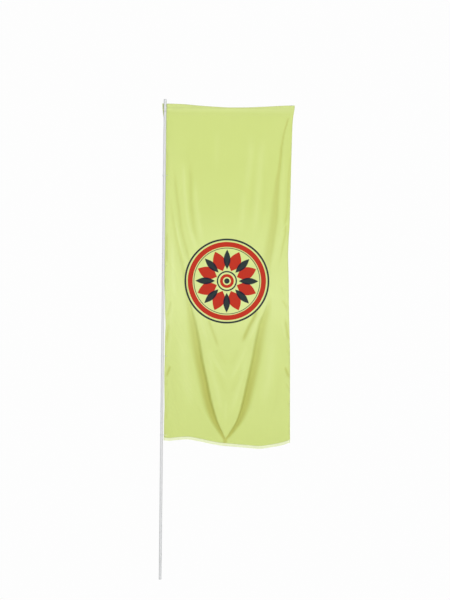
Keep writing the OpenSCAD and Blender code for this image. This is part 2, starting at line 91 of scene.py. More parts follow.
# The three long folds. Every list is (z, value): x of the centre line, half width,
# depth of the recess, and strength of the painted shade in the fold (0 to about 1).
LEFT_FOLD = {
    "centre": [
        (1180, 564), (1252, 561), (1296, 540), (1349, 510), (1421, 471), (1509, 437),
        (1607, 407), (1786, 366), (1964, 326), (2142, 292), (2311, 260), (2391, 242),
        (2489, 223), (2596, 204), (2712, 187), (2819, 169), (2956, 134), (3051, 110),
        (3135, 94), (3256, 74), (3363, 62), (3479, 55), (3568, 51), (4160, 48)],
    "half": [
        (1180, 10), (1260, 12), (1300, 16), (1349, 20), (1421, 26), (1509, 31), (1607, 34),
        (1786, 36), (1964, 36), (2142, 40), (2311, 36), (2400, 26), (2500, 20), (2600, 17),
        (2800, 15), (3100, 13), (3500, 11), (4160, 11)],
    "depth": [
        (1180, 3), (1252, 5), (1300, 10), (1349, 14), (1421, 17), (1607, 21), (1964, 21),
        (2142, 19), (2311, 14), (2500, 11), (2700, 8), (3000, 6.5), (3300, 4), (3500, 0),
        (4160, 0)],
    "painted_fold_shade": [
        (1180, 0.7), (1252, 0.9), (1300, 0.95), (1349, 1), (1421, 1.1), (1607, 1.05),
        (1786, 0.95), (1964, 0.8), (2142, 0.64), (2311, 0.55), (2500, 0.36), (2700, 0.28),
        (3000, 0.26), (3250, 0.2), (3450, 0), (4160, 0)],
}
RIGHT_FOLD = {
    "centre": [
        (1180, 570), (1252, 575), (1297, 608), (1351, 647), (1423, 691), (1512, 727),
        (1611, 755), (1790, 795), (1969, 834), (2130, 861), (2220, 879), (2318, 901),
        (2408, 932), (2470, 949), (2524, 957), (2640, 962), (4160, 962)],
    "half": [
        (1180, 10), (1260, 12), (1300, 16), (1351, 20), (1423, 25), (1512, 30), (1611, 34),
        (1790, 36), (1969, 37), (2130, 38), (2318, 36), (2408, 26), (2524, 16), (4160, 16)],
    "depth": [
        (1180, 3), (1252, 5), (1300, 10), (1349, 14), (1421, 17), (1607, 21), (1964, 21),
        (2142, 19), (2311, 15), (2430, 9), (2560, 0), (4160, 0)],
    "painted_fold_shade": [
        (1180, 0.7), (1252, 0.9), (1300, 0.95), (1349, 1), (1421, 1.1), (1607, 1.05),
        (1786, 0.93), (1964, 0.8), (2142, 0.64), (2311, 0.58), (2420, 0.42), (2500, 0.2),
        (2560, 0), (4160, 0)],
}
CORNER_FOLD = {
    "centre": [
        (2640, 930), (2774, 927), (2881, 930), (2952, 941), (3042, 955), (3131, 969),
        (3221, 983), (3310, 991), (3400, 996), (3489, 1003), (3578, 1010), (3668, 1023),
        (3775, 1035), (3873, 1043), (3954, 1056), (4017, 1068), (4079, 1086), (4124, 1100),
        (4160, 1112)],
    "half": [
        (2640, 30), (2774, 34), (2881, 38), (3042, 37), (3221, 33), (3400, 26), (3489, 22),
        (3578, 18), (3668, 13), (3775, 10), (3954, 9), (4079, 8), (4160, 8)],
    "depth": [
        (2640, 0), (2740, 1), (2881, 7), (3042, 9), (3221, 9), (3489, 7.5), (3775, 6),
        (3954, 5.5), (4079, 4.5), (4120, 2.5), (4150, 0), (4160, 0)],
    "painted_fold_shade": [
        (2640, 0), (2760, 0.16), (2881, 0.38), (2952, 0.44), (3221, 0.46), (3489, 0.48),
        (3668, 0.5), (3775, 0.55), (4017, 0.5), (4079, 0.65), (4124, 0.45), (4150, 0),
        (4160, 0)],
}

# (z, strength) of painted light, paler cloth where more light falls: over the full width, and
# near the hoist only
PAINTED_LIGHT_BY_HEIGHT = [
    (1180, 0.02), (1281, 0.04), (1424, 0.09), (1567, 0.14), (1710, 0.18), (1853, 0.21),
    (1996, 0.26), (2139, 0.34), (2282, 0.5), (2400, 0.62), (2500, 0.68), (2640, 0.63),
    (2782, 0.54), (2925, 0.43), (3067, 0.33), (3210, 0.19), (3353, 0.09), (3500, 0.04),
    (3700, 0), (4160, 0)]
PAINTED_LIGHT_AT_HOIST = [(2900, 0), (3100, 0.1), (3500, 0.16), (3800, 0.08), (4000, 0), (4160, 0)]
# (z, mm): how far the cloth between the left and right folds comes forward
BELLY = [
    (1180, 1), (1252, 3), (1349, 9), (1500, 14), (1786, 16), (2142, 13), (2400, 7),
    (2600, 3), (2800, 0), (4160, 0)]
# (z, mm): how far the whole sheet lies back
LEAN = [
    (1180, 4), (1600, -2), (2050, -5), (2300, 3), (2600, 20), (2900, 34), (3050, 36),
    (3300, 31), (3700, 14), (4000, 3), (4160, 0)]

# Smaller folds: points (z, x), then width, depth (+ is back), painted tone (+ is painted shade,
# - is painted highlight) and the share of the length over which each end fades
LINES = [
    ([(3702, 88), (3604, 95), (3470, 109), (3314, 130), (3135, 157), (2998, 191),
      (2868, 230), (2758, 274)], 14, 5.0, 0.34, 0.2),
    ([(3766, 227), (3641, 233), (3516, 236), (3391, 238), (3267, 250), (3136, 268),
      (3053, 294), (2955, 334)], 18, 4.5, 0.26, 0.22),
    ([(3854, 23), (3746, 24), (3604, 23)], 9, 1.5, 0.3, 0.3),
    ([(3121, 27), (2987, 26), (2889, 26), (2782, 27)], 9, 1.5, 0.7, 0.25),
    ([(3104, 69), (2988, 75), (2872, 80), (2747, 86), (2604, 97), (2461, 116)],
     20, -4.5, -0.5, 0.3),
    ([(3256, 100), (3122, 121), (2944, 159), (2828, 196)], 11, -3.5, -0.4, 0.3),
    ([(3766, 166), (3685, 171), (3516, 180), (3329, 200), (3162, 227), (3008, 274),
      (2892, 317)], 18, -5.0, -0.5, 0.2),
    ([(3615, 273), (3499, 276), (3392, 283), (3205, 310), (3074, 336), (2964, 370)],
     23, -4.0, -0.4, 0.28),
    ([(3936, 1065), (3713, 1062), (3490, 1059), (3293, 1052), (3114, 1047), (2971, 1018),
      (2846, 983), (2721, 967)], 21, -4.0, -0.26, 0.3),
    ([(3883, 1123), (3713, 1119), (3508, 1107), (3329, 1101), (3195, 1087), (3115, 1086),
      (2990, 1064), (2855, 1040), (2757, 1019)], 10, 4.5, 0.34, 0.2),
    ([(4022, 772), (3844, 771), (3620, 747), (3415, 726)], 26, -3.5, -0.32, 0.35),
    ([(3988, 877), (3755, 859), (3505, 841), (3273, 824), (3058, 803)], 28, -4.0, -0.36, 0.25),
    ([(3755, 802), (3478, 784), (3165, 763)], 22, 2.5, 0.06, 0.35),
    ([(3522, 716), (3262, 702), (3057, 686)], 26, -3.0, -0.3, 0.35),
    ([(3756, 910), (3398, 892), (3077, 868)], 22, 2.5, 0.05, 0.35),
    ([(4080, 468), (3860, 466), (3600, 462)], 24, -2.0, -0.15, 0.4),
    ([(2420, 390), (2295, 421), (2224, 445), (2153, 473), (2046, 508)], 14, 5.0, 0.4, 0.28),
    ([(2450, 850), (2371, 822), (2263, 768), (2185, 735), (2111, 709)], 18, 8.0, 0.8, 0.24),
    ([(2400, 880), (2300, 832), (2200, 790), (2110, 755)], 14, -4.0, -0.35, 0.3),
    ([(2400, 320), (2300, 350), (2200, 378), (2100, 410)], 16, -3.5, -0.3, 0.3),
    ([(2090, 491), (2002, 532), (1904, 586)], 24, 3.0, 0.10, 0.3),
    ([(2092, 678), (2003, 648), (1904, 602)], 24, 3.0, 0.10, 0.3),
    ([(2098, 410), (2001, 451), (1903, 506), (1788, 580)], 21, -4.0, -0.32, 0.25),
    ([(2120, 754), (2021, 719), (1914, 671), (1788, 604)], 21, -4.0, -0.32, 0.25),
    ([(1947, 456), (1849, 498), (1752, 539), (1645, 584)], 25, 4.0, 0.10, 0.3),
    ([(1932, 720), (1842, 690), (1744, 651), (1645, 602)], 25, 4.0, 0.10, 0.3),
    ([(2161, 384), (2000, 418), (1804, 462), (1608, 512), (1430, 552)], 24, -3.0, -0.3, 0.3),
    ([(2120, 784), (1986, 752), (1807, 706), (1610, 650), (1431, 590)], 24, -3.0, -0.3, 0.3),
    ([(1654, 576), (1520, 568), (1377, 565)], 18, -3.0, -0.24, 0.4),
    ([(2301, 158), (2096, 181), (1873, 203), (1677, 232), (1490, 283)], 46, -4.5, -0.36, 0.35),
    ([(2292, 980), (2078, 974), (1917, 961), (1729, 932), (1523, 885)], 42, -4.5, -0.36, 0.35),
    ([(1960, 84), (1700, 110), (1440, 160)], 26, 2.5, 0.06, 0.4),
    ([(2000, 1050), (1700, 1030), (1400, 985)], 28, 2.5, 0.06, 0.4),
]
# Short creases by the side edges: from x, z to x, z, then width, depth and painted tone (+ is
# painted shade, - is painted highlight)
CREASES = [
    (68, 2497, 35, 2336, 9, 5.5, 0.36), (53, 2300, 33, 2103, 9, 6.5, 0.5),
    (71, 1916, 36, 1809, 10, 7, 0.65), (47, 1791, 34, 1728, 7, 3, 0.25),
    (46, 1514, 38, 1425, 8, 3, 0.2), (58, 1680, 40, 1590, 8, 2.5, 0.12),
    (84, 2440, 62, 2260, 11, -3.5, -0.2), (78, 2200, 60, 2060, 10, -3, -0.2),
    (1067, 2516, 1112, 2427, 9, 5, 0.36), (1093, 2347, 1127, 2133, 9, 6.5, 0.5),
    (1093, 1918, 1135, 1812, 10, 7, 0.65), (1106, 1767, 1128, 1722, 7, 3.5, 0.25),
    (1107, 2079, 1128, 2017, 7, 3, 0.2), (1110, 1640, 1134, 1560, 8, 2.5, 0.12),
    (1029, 3096, 1106, 3213, 8, -4.5, -0.45), (1062, 2330, 1096, 2160, 11, -3.5, -0.2),
    (1052, 2640, 1090, 2540, 9, 3, 0.15),
]

# =====================================================================================
# Shape of the cloth
# =====================================================================================


def smooth(t):
    t = np.clip(t, 0.0, 1.0)
    return t * t * (3 - 2 * t)


def rise(value, start, length):
    """0 up to start, then smoothly to 1 over length."""
    return smooth((value - start) / length)


def fall(value, end, length):
    """1 at first, then smoothly to 0 over the length before end."""
    return smooth((end - value) / length)


def bell(distance, width):
    return np.exp(-((distance / width) ** 2))


def curve(q, points):
    """Cubic through (q, value) points that does not overshoot them."""
    p = np.array(sorted(points), dtype=float)
    x, y = p[:, 0], p[:, 1]
    gap = np.diff(x)
    slope = np.diff(y) / gap
    before, after = slope[:-1], slope[1:]
    m = np.zeros(len(x))
    m[1:-1] = np.where(before * after > 0, 2 * before * after / (before + after + 1e-12), 0.0)
    m[0], m[-1] = slope[0], slope[-1]
    q = np.clip(np.asarray(q, dtype=float), x[0], x[-1])
    i = np.clip(np.searchsorted(x, q) - 1, 0, len(gap) - 1)
    t = (q - x[i]) / gap[i]
    return ((1 + 2 * t) * (1 - t) ** 2 * y[i] + t * (1 - t) ** 2 * gap[i] * m[i]
            + t * t * (3 - 2 * t) * y[i + 1] + t * t * (t - 1) * gap[i] * m[i + 1])


# Profiles across a long fold, with t in half widths from its centre line
def recess(t):
    """Gentle where t < 0, steep on the other side."""
    return np.where(t < 0.3, rise(t, -2.1, 2.4), 1 - step(t))


def step(t):
    return rise(t, 0.3, 1.1)


# painted shade across a long fold
def painted_fold_shade(t):
    return rise(t, -1.8, 1.75) * (1 - rise(t, 0.6, 0.8))


def across(fold, x, z):
    return (x - curve(z, fold["centre"])) / curve(z, fold["half"])


def crease(x, z, x0, z0, x1, z1, width):
    """Share (0 to 1) of a short dent along a line."""
    dx, dz = x1 - x0, z1 - z0
    length = math.hypot(dx, dz)
    along = ((x - x0) * dx + (z - z0) * dz) / length
    off = ((x - x0) * dz - (z - z0) * dx) / length
    fade = 0.3 * length
    ends = smooth(along / fade + 0.15) * smooth((length - along) / fade + 0.15)
    return ends * bell(off, width)


def swell(x, z, seed, length_x, length_z):
    """Very soft, seeded unevenness."""
    random = np.random.default_rng(seed)
    out = 0
    terms = 7
    for _ in range(terms):
        kx, kz = random.normal(0, 1 / length_x), random.normal(0, 1 / length_z)
        size = random.uniform(0.4, 1)
        out = out + size * np.sin(6.2832 * (kx * x + kz * z) + random.uniform(0, 6.28))
    return out / terms


def away_from_ties(x, z):
    """1 away from the eyelets, 0 beside them."""
    clear = np.ones_like(z)
    for tie in TIES:
        clear = clear * (1 - np.clip(1.6 * bell(z - tie, 34), 0, 1) * fall(x, 82, 30))
    return clear


def small_folds(x, z, fade, clear):
    """Share, depth and painted tone (+ painted shade, - painted highlight) of each smaller fold
    and crease.
    """
    for points, width, depth, colour, ends in LINES:
        top, bottom = max(p[0] for p in points), min(p[0] for p in points)
        end = ends * (top - bottom)
        share = rise(z, bottom, end) * fall(z, top, end) * bell(x - curve(z, points), width)
        yield share * fade, depth, colour
    for *line, width, depth, colour in CREASES:
        yield crease(x, z, *line, width) * clear, depth, colour


def drape(x, z):
    """Depth (y) of the cloth, and its painted shade (+) or painted highlight (-) there."""
    left, right = curve(z, HOIST), curve(z, FLY)
    clear = away_from_ties(x, z)
    # fades towards the hoist, the fly and the top seam
    lean_fade = rise(x - left, 22, 210)
    broad_fade = rise(x - left, 26, 110) * clear
    small_fade = rise(x - left, 3, 22) * clear * rise(right - x, -3, 14)
    # positive t is towards the middle in the left and right folds
    t_left = across(LEFT_FOLD, x, z)
    t_right = -across(RIGHT_FOLD, x, z)
    t_corner = across(CORNER_FOLD, x, z)
    low = fall(z, 2900, 300)

    y = curve(z, LEAN) * lean_fade
    y += np.maximum(curve(z, LEFT_FOLD["depth"]) * recess(t_left) * broad_fade,
                    curve(z, RIGHT_FOLD["depth"]) * recess(t_right))
    y += curve(z, CORNER_FOLD["depth"]) * recess(t_corner) * fall(z, 4162, 55)
    y -= curve(z, BELLY) * step(t_left) * step(t_right) * low
    # soft ridge halfway between the left and right folds
    x_left, x_right = curve(z, LEFT_FOLD["centre"]), curve(z, RIGHT_FOLD["centre"])
    middle, gap = (x_left + x_right) / 2, np.maximum(x_right - x_left, 60)
    y -= 5.0 * low * rise(z, 1190, 420) * bell((x - middle) / gap * 2.6, 1.0)

    # dark holds painted shade: along the long folds, then from the smaller folds
    dark = np.maximum(curve(z, LEFT_FOLD["painted_fold_shade"]) * painted_fold_shade(t_left) * rise(x - left, 8, 30),
                      curve(z, RIGHT_FOLD["painted_fold_shade"]) * painted_fold_shade(t_right))
    dark = np.maximum(dark, curve(z, CORNER_FOLD["painted_fold_shade"]) * painted_fold_shade(t_corner))
    # painted highlight from the paler smaller folds
    painted_light = np.zeros_like(y)
    for share, depth, colour in small_folds(x, z, small_fade, clear):
        y = y + depth * share
        dark = np.maximum(dark, colour * share)
        painted_light = np.maximum(painted_light, -colour * share)

    # waves along the bottom hem and the fly, then a soft unevenness
    y += 8 * fall(z, 1330, 190) * broad_fade * np.sin(x / 98 + 0.9) * rise(right - x, -60, 110)
    y += 6 * fall(z, 2900, 500) * rise(x - right, -150, 140) * np.sin(z / 165 + 0.4)
    uneven = (4.5 * swell(x, z, seed=3, length_x=620, length_z=900)
              + 1.3 * swell(x, z, seed=5, length_x=190, length_z=420))
    y += uneven * broad_fade * fall(z, 4158, 260)
    y = (17.0 - 1.5 * fall(z, 4150, 40)) + y
    return y, np.clip(dark, 0, 1) - np.clip(painted_light, 0, 1) * (1 - np.clip(dark * 1.6, 0, 1))


def ripple(x, z):
    """Gathers just under the top seam."""
    wave = np.sin(x / 23.0 + 1.3 * np.sin(x / 120))
    return 0.55 * wave * fall(z, 4200, 30) * rise(z, 4090, 60)


def sleeve(x):
    """(y, z) outline of the top sleeve at x: up the front, over the top and down the back."""
    top = curve(x, TOP)
    neck_half = 3.3 + 2.7 * smooth(1 - (top - (ARM_Z + ARM_R)) / 22)
    r = ARM_R + 1.3
    level = [
        (16.75, SEAM_Z + 7), (15.4, ARM_Z - 24), (ARM_Y - r - 0.15, ARM_Z - 10),
        (ARM_Y - r, ARM_Z), (ARM_Y - r + 0.55, ARM_Z + 3.0),
        (ARM_Y - r + 1.3, ARM_Z + ARM_R - 1.6)]
    level_tail = [(22.5, ARM_Z - 26), (19.2, SEAM_Z + 10), (18.2, SEAM_Z + 3),
                  (18.05, SEAM_Z - 12)]

    def spread(stations):
        return [(np.full_like(x, y), np.full_like(x, z)) for y, z in stations]

    def mirror(outline):
        return [(2 * ARM_Y - y, z) for y, z in reversed(outline)]

    front = spread(level)
    last_y, last_z = front[-1]
    neck = [(last_y * (1 - k) + (ARM_Y - neck_half) * k, last_z * (1 - k) + (top - 2.4) * k)
            for k in (0.35, 0.7, 1.0)]
    # share of the neck's half width, drop below the top
    crown = [(ARM_Y + neck_half * share, top - drop) for share, drop in
             ((-0.8, 1.5), (-0.45, 0.75), (0, 0.42), (0.45, 0.75), (0.8, 1.5))]
    return front + neck + crown + mirror(neck) + mirror(front[2:]) + spread(level_tail)


# =====================================================================================
# Mesh helpers
# =====================================================================================


def put(obj):
    bpy.context.scene.collection.objects.link(obj)
    return obj


def mesh_object(name, verts_mm, faces):
    me = bpy.data.meshes.new(name)
    me.from_pydata((np.asarray(verts_mm) * MM).tolist(), [], faces)
    me.validate()
    me.update()
    me.polygons.foreach_set("use_smooth", [True] * len(me.polygons))
    return put(bpy.data.objects.new(name, me))


def grid_faces(rows, cols):
    return [(a, a + 1, a + cols + 1, a + cols)
            for j in range(rows - 1) for a in range(j * cols, (j + 1) * cols - 1)]


def cloth_faces(rows, cols, level):
    """Triangles over a grid, each square split along the diagonal that changes least, so
    that slanting folds stay clean."""
    out = []
    for j in range(rows - 1):
        for i in range(cols - 1):
            a = j * cols + i
            b, c, d = a + 1, a + cols + 1, a + cols
            rising = abs(level[j, i] - level[j + 1, i + 1])
            falling = abs(level[j, i + 1] - level[j + 1, i])
            out += [(a, b, c), (a, c, d)] if rising <= falling else [(a, b, d), (b, c, d)]
    return out


def ring_faces(rings, sides, base=0, closed=True):
    """Faces between rings of points that follow one another."""
    out = []
    for i in range(rings if closed else rings - 1):
        this, after = base + i * sides, base + (i + 1) % rings * sides
        for j in range(sides):
            k = (j + 1) % sides
            out.append((this + j, this + k, after + k, after + j))
    return out


def set_uv(me, per_vertex):
    uv = me.uv_layers.new(name="UVMap")
    index = np.empty(len(me.loops), dtype=np.int32)
    me.loops.foreach_get("vertex_index", index)
    flat = np.asarray(per_vertex, dtype=np.float32).reshape(-1, 2)
    uv.data.foreach_set("uv", flat[index].ravel())


def recalc(me):
    bm = bmesh.new()
    bm.from_mesh(me)
    bmesh.ops.recalc_face_normals(bm, faces=bm.faces)
    bm.to_mesh(me)
    bm.free()


def finish_fabric(obj, thickness, material):
    """Gives a sheet its thickness (mm) to both sides, and its material."""
    mod = obj.modifiers.new("thick", "SOLIDIFY")
    mod.thickness = thickness * MM
    mod.offset = 0
    mod.use_even_offset = False
    deps = bpy.context.evaluated_depsgraph_get()
    me = bpy.data.meshes.new_from_object(obj.evaluated_get(deps), preserve_all_data_layers=True,
                                         depsgraph=deps)
    old = obj.data
    obj.modifiers.clear()
    obj.data = me
    me.name = obj.name
    bpy.data.meshes.remove(old)
    recalc(me)
    me.materials.clear()
    me.materials.append(material)
    return obj


def unit(vectors):
    return vectors / np.linalg.norm(vectors, axis=-1, keepdims=True)


def travel(points):
    """Distance run at each point of a polyline."""
    steps = np.linalg.norm(np.diff(points, axis=0), axis=-1)
    return np.concatenate([[0], np.cumsum(steps)])


def interpolate(place, places, values):
    """Rows of values, given at places, read at one or more other places."""
    return np.stack([np.interp(place, places, column) for column in values.T], axis=-1)


def stitches(name, points, normals, pitch, length):
    """Row of sewn stitches along a seam; normals point out of the surface."""
    r, sides, end_gap = 0.36, 6, 1
    # place along the stitch in lengths, then radius and lift in thread radii
    shape = ((-0.5, 0.12, -0.9), (-0.42, 0.75, -0.35), (-0.2, 1.0, 0.25),
             (0.2, 1.0, 0.25), (0.42, 0.75, -0.35), (0.5, 0.12, -0.9))
    run = travel(points)
    usable = run[-1] - 2 * end_gap
    count = int(usable / pitch)
    verts, faces = [], []
    for k in range(count):
        s = end_gap + (k + 0.5) * usable / count
        centre = interpolate(s, run, points)
        forward = unit(interpolate(s + 1.0, run, points) - centre)
        up = interpolate(s, run, normals)
        up = unit(up - forward * up.dot(forward))
        side = np.cross(forward, up)
        base = len(verts)
        for place, radius, lift in shape:
            middle = centre + forward * (place * length) + up * (lift * r)
            for j in range(sides):
                a = 2 * math.pi * j / sides
                verts.append(middle + (side * math.cos(a) + up * math.sin(a)) * (radius * r))
        faces += ring_faces(len(shape), sides, base, closed=False)
        last = base + (len(shape) - 1) * sides
        faces.append(tuple(base + j for j in range(sides - 1, -1, -1)))
        faces.append(tuple(last + j for j in range(sides)))
    obj = mesh_object(name, np.array(verts), faces)
    recalc(obj.data)
    return obj


# =====================================================================================
# Materials
# =====================================================================================


class Mat:
    """Small wrapper for node materials. Colours are linear, and masks run from 0 to 1."""

    def __init__(self, name):
        self.material = bpy.data.materials.new(name)
        self.material.use_nodes = True
        self.tree = self.material.node_tree
        self.principled = self.tree.nodes["Principled BSDF"]

    def node(self, kind, **settings):
        node = self.tree.nodes.new(kind)
        for key, value in settings.items():
            setattr(node, key, value)
        return node

    def feed(self, value, socket):
        """Links a socket, or sets a colour or a number."""
        if isinstance(value, bpy.types.NodeSocket):
            self.tree.links.new(value, socket)
        elif isinstance(value, tuple):
            socket.default_value = (*value[:3], 1)
        else:
            socket.default_value = value

    def set(self, **values):
        """Inputs of the principled shader, with _ for a space."""
        for key, value in values.items():
            self.feed(value, self.principled.inputs[key.replace("_", " ")])

    def math(self, operation, *values, clamp=False):
        node = self.node("ShaderNodeMath", operation=operation, use_clamp=clamp)
        for value, socket in zip(values, node.inputs):
            self.feed(value, socket)
        return node.outputs[0]

    def add(self, a, b):
        return self.math("ADD", a, b)

    def sub(self, a, b, clamp=False):
        return self.math("SUBTRACT", a, b, clamp=clamp)

    def mul(self, a, b, clamp=False):
        return self.math("MULTIPLY", a, b, clamp=clamp)

    def plus(self, base, mask, amount):
        return self.add(base, self.mul(mask, amount))

    def above(self, value, threshold, gain):
        """Mask of where a value passes a threshold."""
        return self.mul(self.sub(value, threshold, clamp=True), gain, clamp=True)

    def mix(self, mask, base, colour):
        node = self.node("ShaderNodeMix", data_type="RGBA")
        # inputs 6 and 7 and output 2 are the node's colour sockets
        for i, value in ((0, mask), (6, base), (7, colour)):
            self.feed(value, node.inputs[i])
        return node.outputs[2]

    def tint(self, base, colour, mask, amount, clamp=False):
        return self.mix(self.mul(mask, amount, clamp), base, colour)

    def coords(self):
        return self.node("ShaderNodeTexCoord").outputs["Object"]

    def uv(self):
        return self.node("ShaderNodeUVMap", uv_map="UVMap").outputs[0]

    def separate(self, vector):
        node = self.node("ShaderNodeSeparateXYZ")
        self.feed(vector, node.inputs[0])
        return node.outputs

    def mapping(self, vector, scale):
        node = self.node("ShaderNodeMapping")
        node.inputs["Scale"].default_value = scale
        self.feed(vector, node.inputs["Vector"])
        return node.outputs[0]

    def noise(self, vector, scale=1.0, detail=3.0, roughness=0.5, stretch=None):
        if stretch:
            vector = self.mapping(vector, stretch)
        node = self.node("ShaderNodeTexNoise")
        node.inputs["Scale"].default_value = scale
        node.inputs["Detail"].default_value = detail
        node.inputs["Roughness"].default_value = roughness
        self.feed(vector, node.inputs["Vector"])
        return node.outputs[0]

    def wave(self, vector, scale, axis, distortion=0.0, detail_scale=1.0):
        node = self.node("ShaderNodeTexWave", bands_direction=axis)
        node.inputs["Scale"].default_value = scale
        node.inputs["Distortion"].default_value = distortion
        node.inputs["Detail"].default_value = 0.0
        node.inputs["Detail Scale"].default_value = detail_scale
        self.feed(vector, node.inputs["Vector"])
        return node.outputs[1]

    def bump(self, height, strength, distance, under=None):
        node = self.node("ShaderNodeBump")
        node.inputs["Strength"].default_value = strength
        node.inputs["Distance"].default_value = distance
        self.feed(height, node.inputs["Height"])
        if under is not None:
            self.feed(under, node.inputs["Normal"])
        return node.outputs[0]

    def surface_mix(self, share, other):
        """Mixes another shader into the principled one at the output."""
        node = self.node("ShaderNodeMixShader")
        for i, value in enumerate((share, self.principled.outputs[0], other)):
            self.feed(value, node.inputs[i])
        self.feed(node.outputs[0], self.tree.nodes["Material Output"].inputs[0])


def srgb(*channels):
    return tuple(c / 255 / 12.92 if c / 255 <= 0.04045 else ((c / 255 + 0.055) / 1.055) ** 2.4
                 for c in channels)


def scaled(colour, factor, lift=0.0):
    return tuple(min(1, c * factor + lift) for c in colour)


LIME = srgb(214, 227, 138)
# painted shade and painted highlight colours of the cloth; the shade colour also darkens the fly
# hem's ribs, the highlight colour also tints the sheen
LIME_PAINTED_SHADE_AND_RIBS = srgb(189, 190, 90)
LIME_PAINTED_HIGHLIGHT_AND_SHEEN = srgb(232, 243, 172)
NAVY = srgb(3, 29, 50)
RED = srgb(198, 18, 12)

# Cloth coordinates in the UV map, which holds the whole banner between 0 and 1
UV_SPAN = 4.4        # m to the unit
UV_SHIFT = 0.1       # m added to x
WEAVE_SCALE = 454.54690141   # scale of the thread waves

# Printed rosette, m
ROSETTE_X, ROSETTE_Z = 0.568, 2.672
PRINT_EDGE = 0.0012          # width over which a printed edge softens
PETALS = 8


def ring(m, radius, inner, outer):
    past_inner = m.mul(m.sub(radius, inner - PRINT_EDGE / 2), 1 / PRINT_EDGE, clamp=True)
    before_outer = m.mul(m.sub(outer + PRINT_EDGE / 2, radius), 1 / PRINT_EDGE, clamp=True)
    return m.mul(past_inner, before_outer)


def petals(m, radius, angle, turn, inner, outer, half_width):
    pitch = 2 * math.pi / PETALS
    # whole turns are added so that the angle is positive
    turned = m.add(angle, 20 * math.pi + turn)
    off_axis = m.sub(m.math("MODULO", turned, pitch), pitch / 2)
    distance = m.math("ABSOLUTE", m.mul(radius, m.math("SINE", off_axis)))
    along = m.mul(m.sub(radius, inner), 1 / (outer - inner), clamp=True)
    width = m.mul(m.math("SINE", m.mul(along, math.pi)), half_width)
    inside = m.mul(m.sub(width, distance), 1 / PRINT_EDGE, clamp=True)
    return m.mul(inside, ring(m, radius, inner, outer))


def highest(m, first, *masks):
    for mask in masks:
        first = m.math("MAXIMUM", first, mask)
    return first


def rosette(m, x, z):
    """Masks of the navy and the red print."""
    dx, dz = m.sub(x, ROSETTE_X), m.sub(z, ROSETTE_Z)
    radius = m.math("SQRT", m.add(m.mul(dx, dx), m.mul(dz, dz)))
    angle = m.math("ARCTAN2", dz, dx)
    navy = highest(
        m, ring(m, radius, 0.364, 0.380),
        petals(m, radius, angle, math.pi / PETALS, inner=0.105, outer=0.283, half_width=0.031),
        ring(m, radius, 0.292, 0.298), ring(m, radius, 0.078, 0.090),
        ring(m, radius, 0.0, 0.024))
    red = highest(
        m, petals(m, radius, angle, 0.0, inner=0.095, outer=0.283, half_width=0.056),
        ring(m, radius, 0.306, 0.350), ring(m, radius, 0.036, 0.062))
    return navy, red


def cloth_material():
    m = Mat("banner_polyester")
    u, v, _ = m.separate(m.uv())
    x = m.sub(m.mul(u, UV_SPAN), UV_SHIFT)
    z = m.mul(v, UV_SPAN)
    combine = m.node("ShaderNodeCombineXYZ")
    m.feed(x, combine.inputs[0])
    m.feed(z, combine.inputs[1])
    place = combine.outputs[0]
    # dye slightly uneven along the threads; painted shade in the folds, painted highlight on the
    # crests
    fold = m.node("ShaderNodeAttribute", attribute_name="fold").outputs["Fac"]
    painted_highlight = m.node("ShaderNodeAttribute", attribute_name="painted_highlight").outputs["Fac"]
    streak = m.noise(place, detail=4.0, stretch=(60, 4, 1))
    cloud = m.noise(place, scale=3.2)
    uneven = m.plus(0.88, m.noise(place, stretch=(14, 3, 1)), amount=0.24)
    # painted shade in the folds, then painted highlight on the crests and in the pale bands
    base = m.tint(LIME, LIME_PAINTED_SHADE_AND_RIBS, fold, uneven, clamp=True)
    base = m.tint(base, LIME_PAINTED_HIGHLIGHT_AND_SHEEN, painted_highlight, uneven, clamp=True)
    base = m.tint(base, srgb(202, 214, 122), streak, amount=0.10)
    base = m.tint(base, srgb(224, 234, 158), m.sub(cloud, 0.45, clamp=True), amount=0.25)
    # print, a little thin in places
    navy, red = rosette(m, x, z)
    thin = m.plus(0.93, m.noise(place, scale=900.0, detail=2.0), amount=0.07)
    base = m.tint(base, RED, red, thin)
    base = m.tint(base, NAVY, navy, thin)
    # plain weave: two crossed sets of threads, then uneven threads and a soft dimpling
    weave = m.mul(m.wave(place, WEAVE_SCALE, "X"), m.wave(place, WEAVE_SCALE, "Y"))
    slub = m.noise(place, detail=2.0, stretch=(900, 30, 1))
    normal = m.bump(weave, strength=0.22, distance=0.00018)
    normal = m.bump(slub, strength=0.10, distance=0.0004, under=normal)
    normal = m.bump(m.noise(place, scale=22.0), strength=0.10, distance=0.004, under=normal)
    rough = m.plus(m.plus(0.66, weave, amount=0.16), cloud, amount=0.05)
    m.set(Base_Color=base, Normal=normal, Roughness=rough, Sheen_Weight=0.08,
          Sheen_Roughness=0.45, Sheen_Tint=LIME_PAINTED_HIGHLIGHT_AND_SHEEN, Specular_IOR_Level=0.18)
    # a little light comes through the thin cloth
    through = m.node("ShaderNodeBsdfTranslucent")
    m.feed(base, through.inputs["Color"])
    m.feed(normal, through.inputs["Normal"])
    m.surface_mix(0.16, through.outputs[0])
    return m.material


def tape_material(name, colour, dark, pitch):
    """Woven tape with slanting ribs; pitch is in metres."""
    m = Mat(name)
    uv = m.uv()
    slant = m.wave(uv, 1 / (pitch * 4), "DIAGONAL", distortion=0.6, detail_scale=8)
    ribs = m.mul(slant, m.wave(uv, 1 / (pitch * 2), "Y"))
    spots = m.noise(uv, scale=55.0, detail=4.0)
    base = m.tint(colour, dark, ribs, amount=0.35)
    base = m.tint(base, dark, m.sub(spots, 0.5, clamp=True), amount=0.9)
    normal = m.bump(ribs, strength=0.35, distance=0.0003)
    m.set(Base_Color=base, Roughness=m.plus(0.72, ribs, amount=0.15),
          Normal=m.bump(spots, strength=0.15, distance=0.001, under=normal),
          Sheen_Weight=0.2, Sheen_Roughness=0.5, Specular_IOR_Level=0.25)
    return m.material


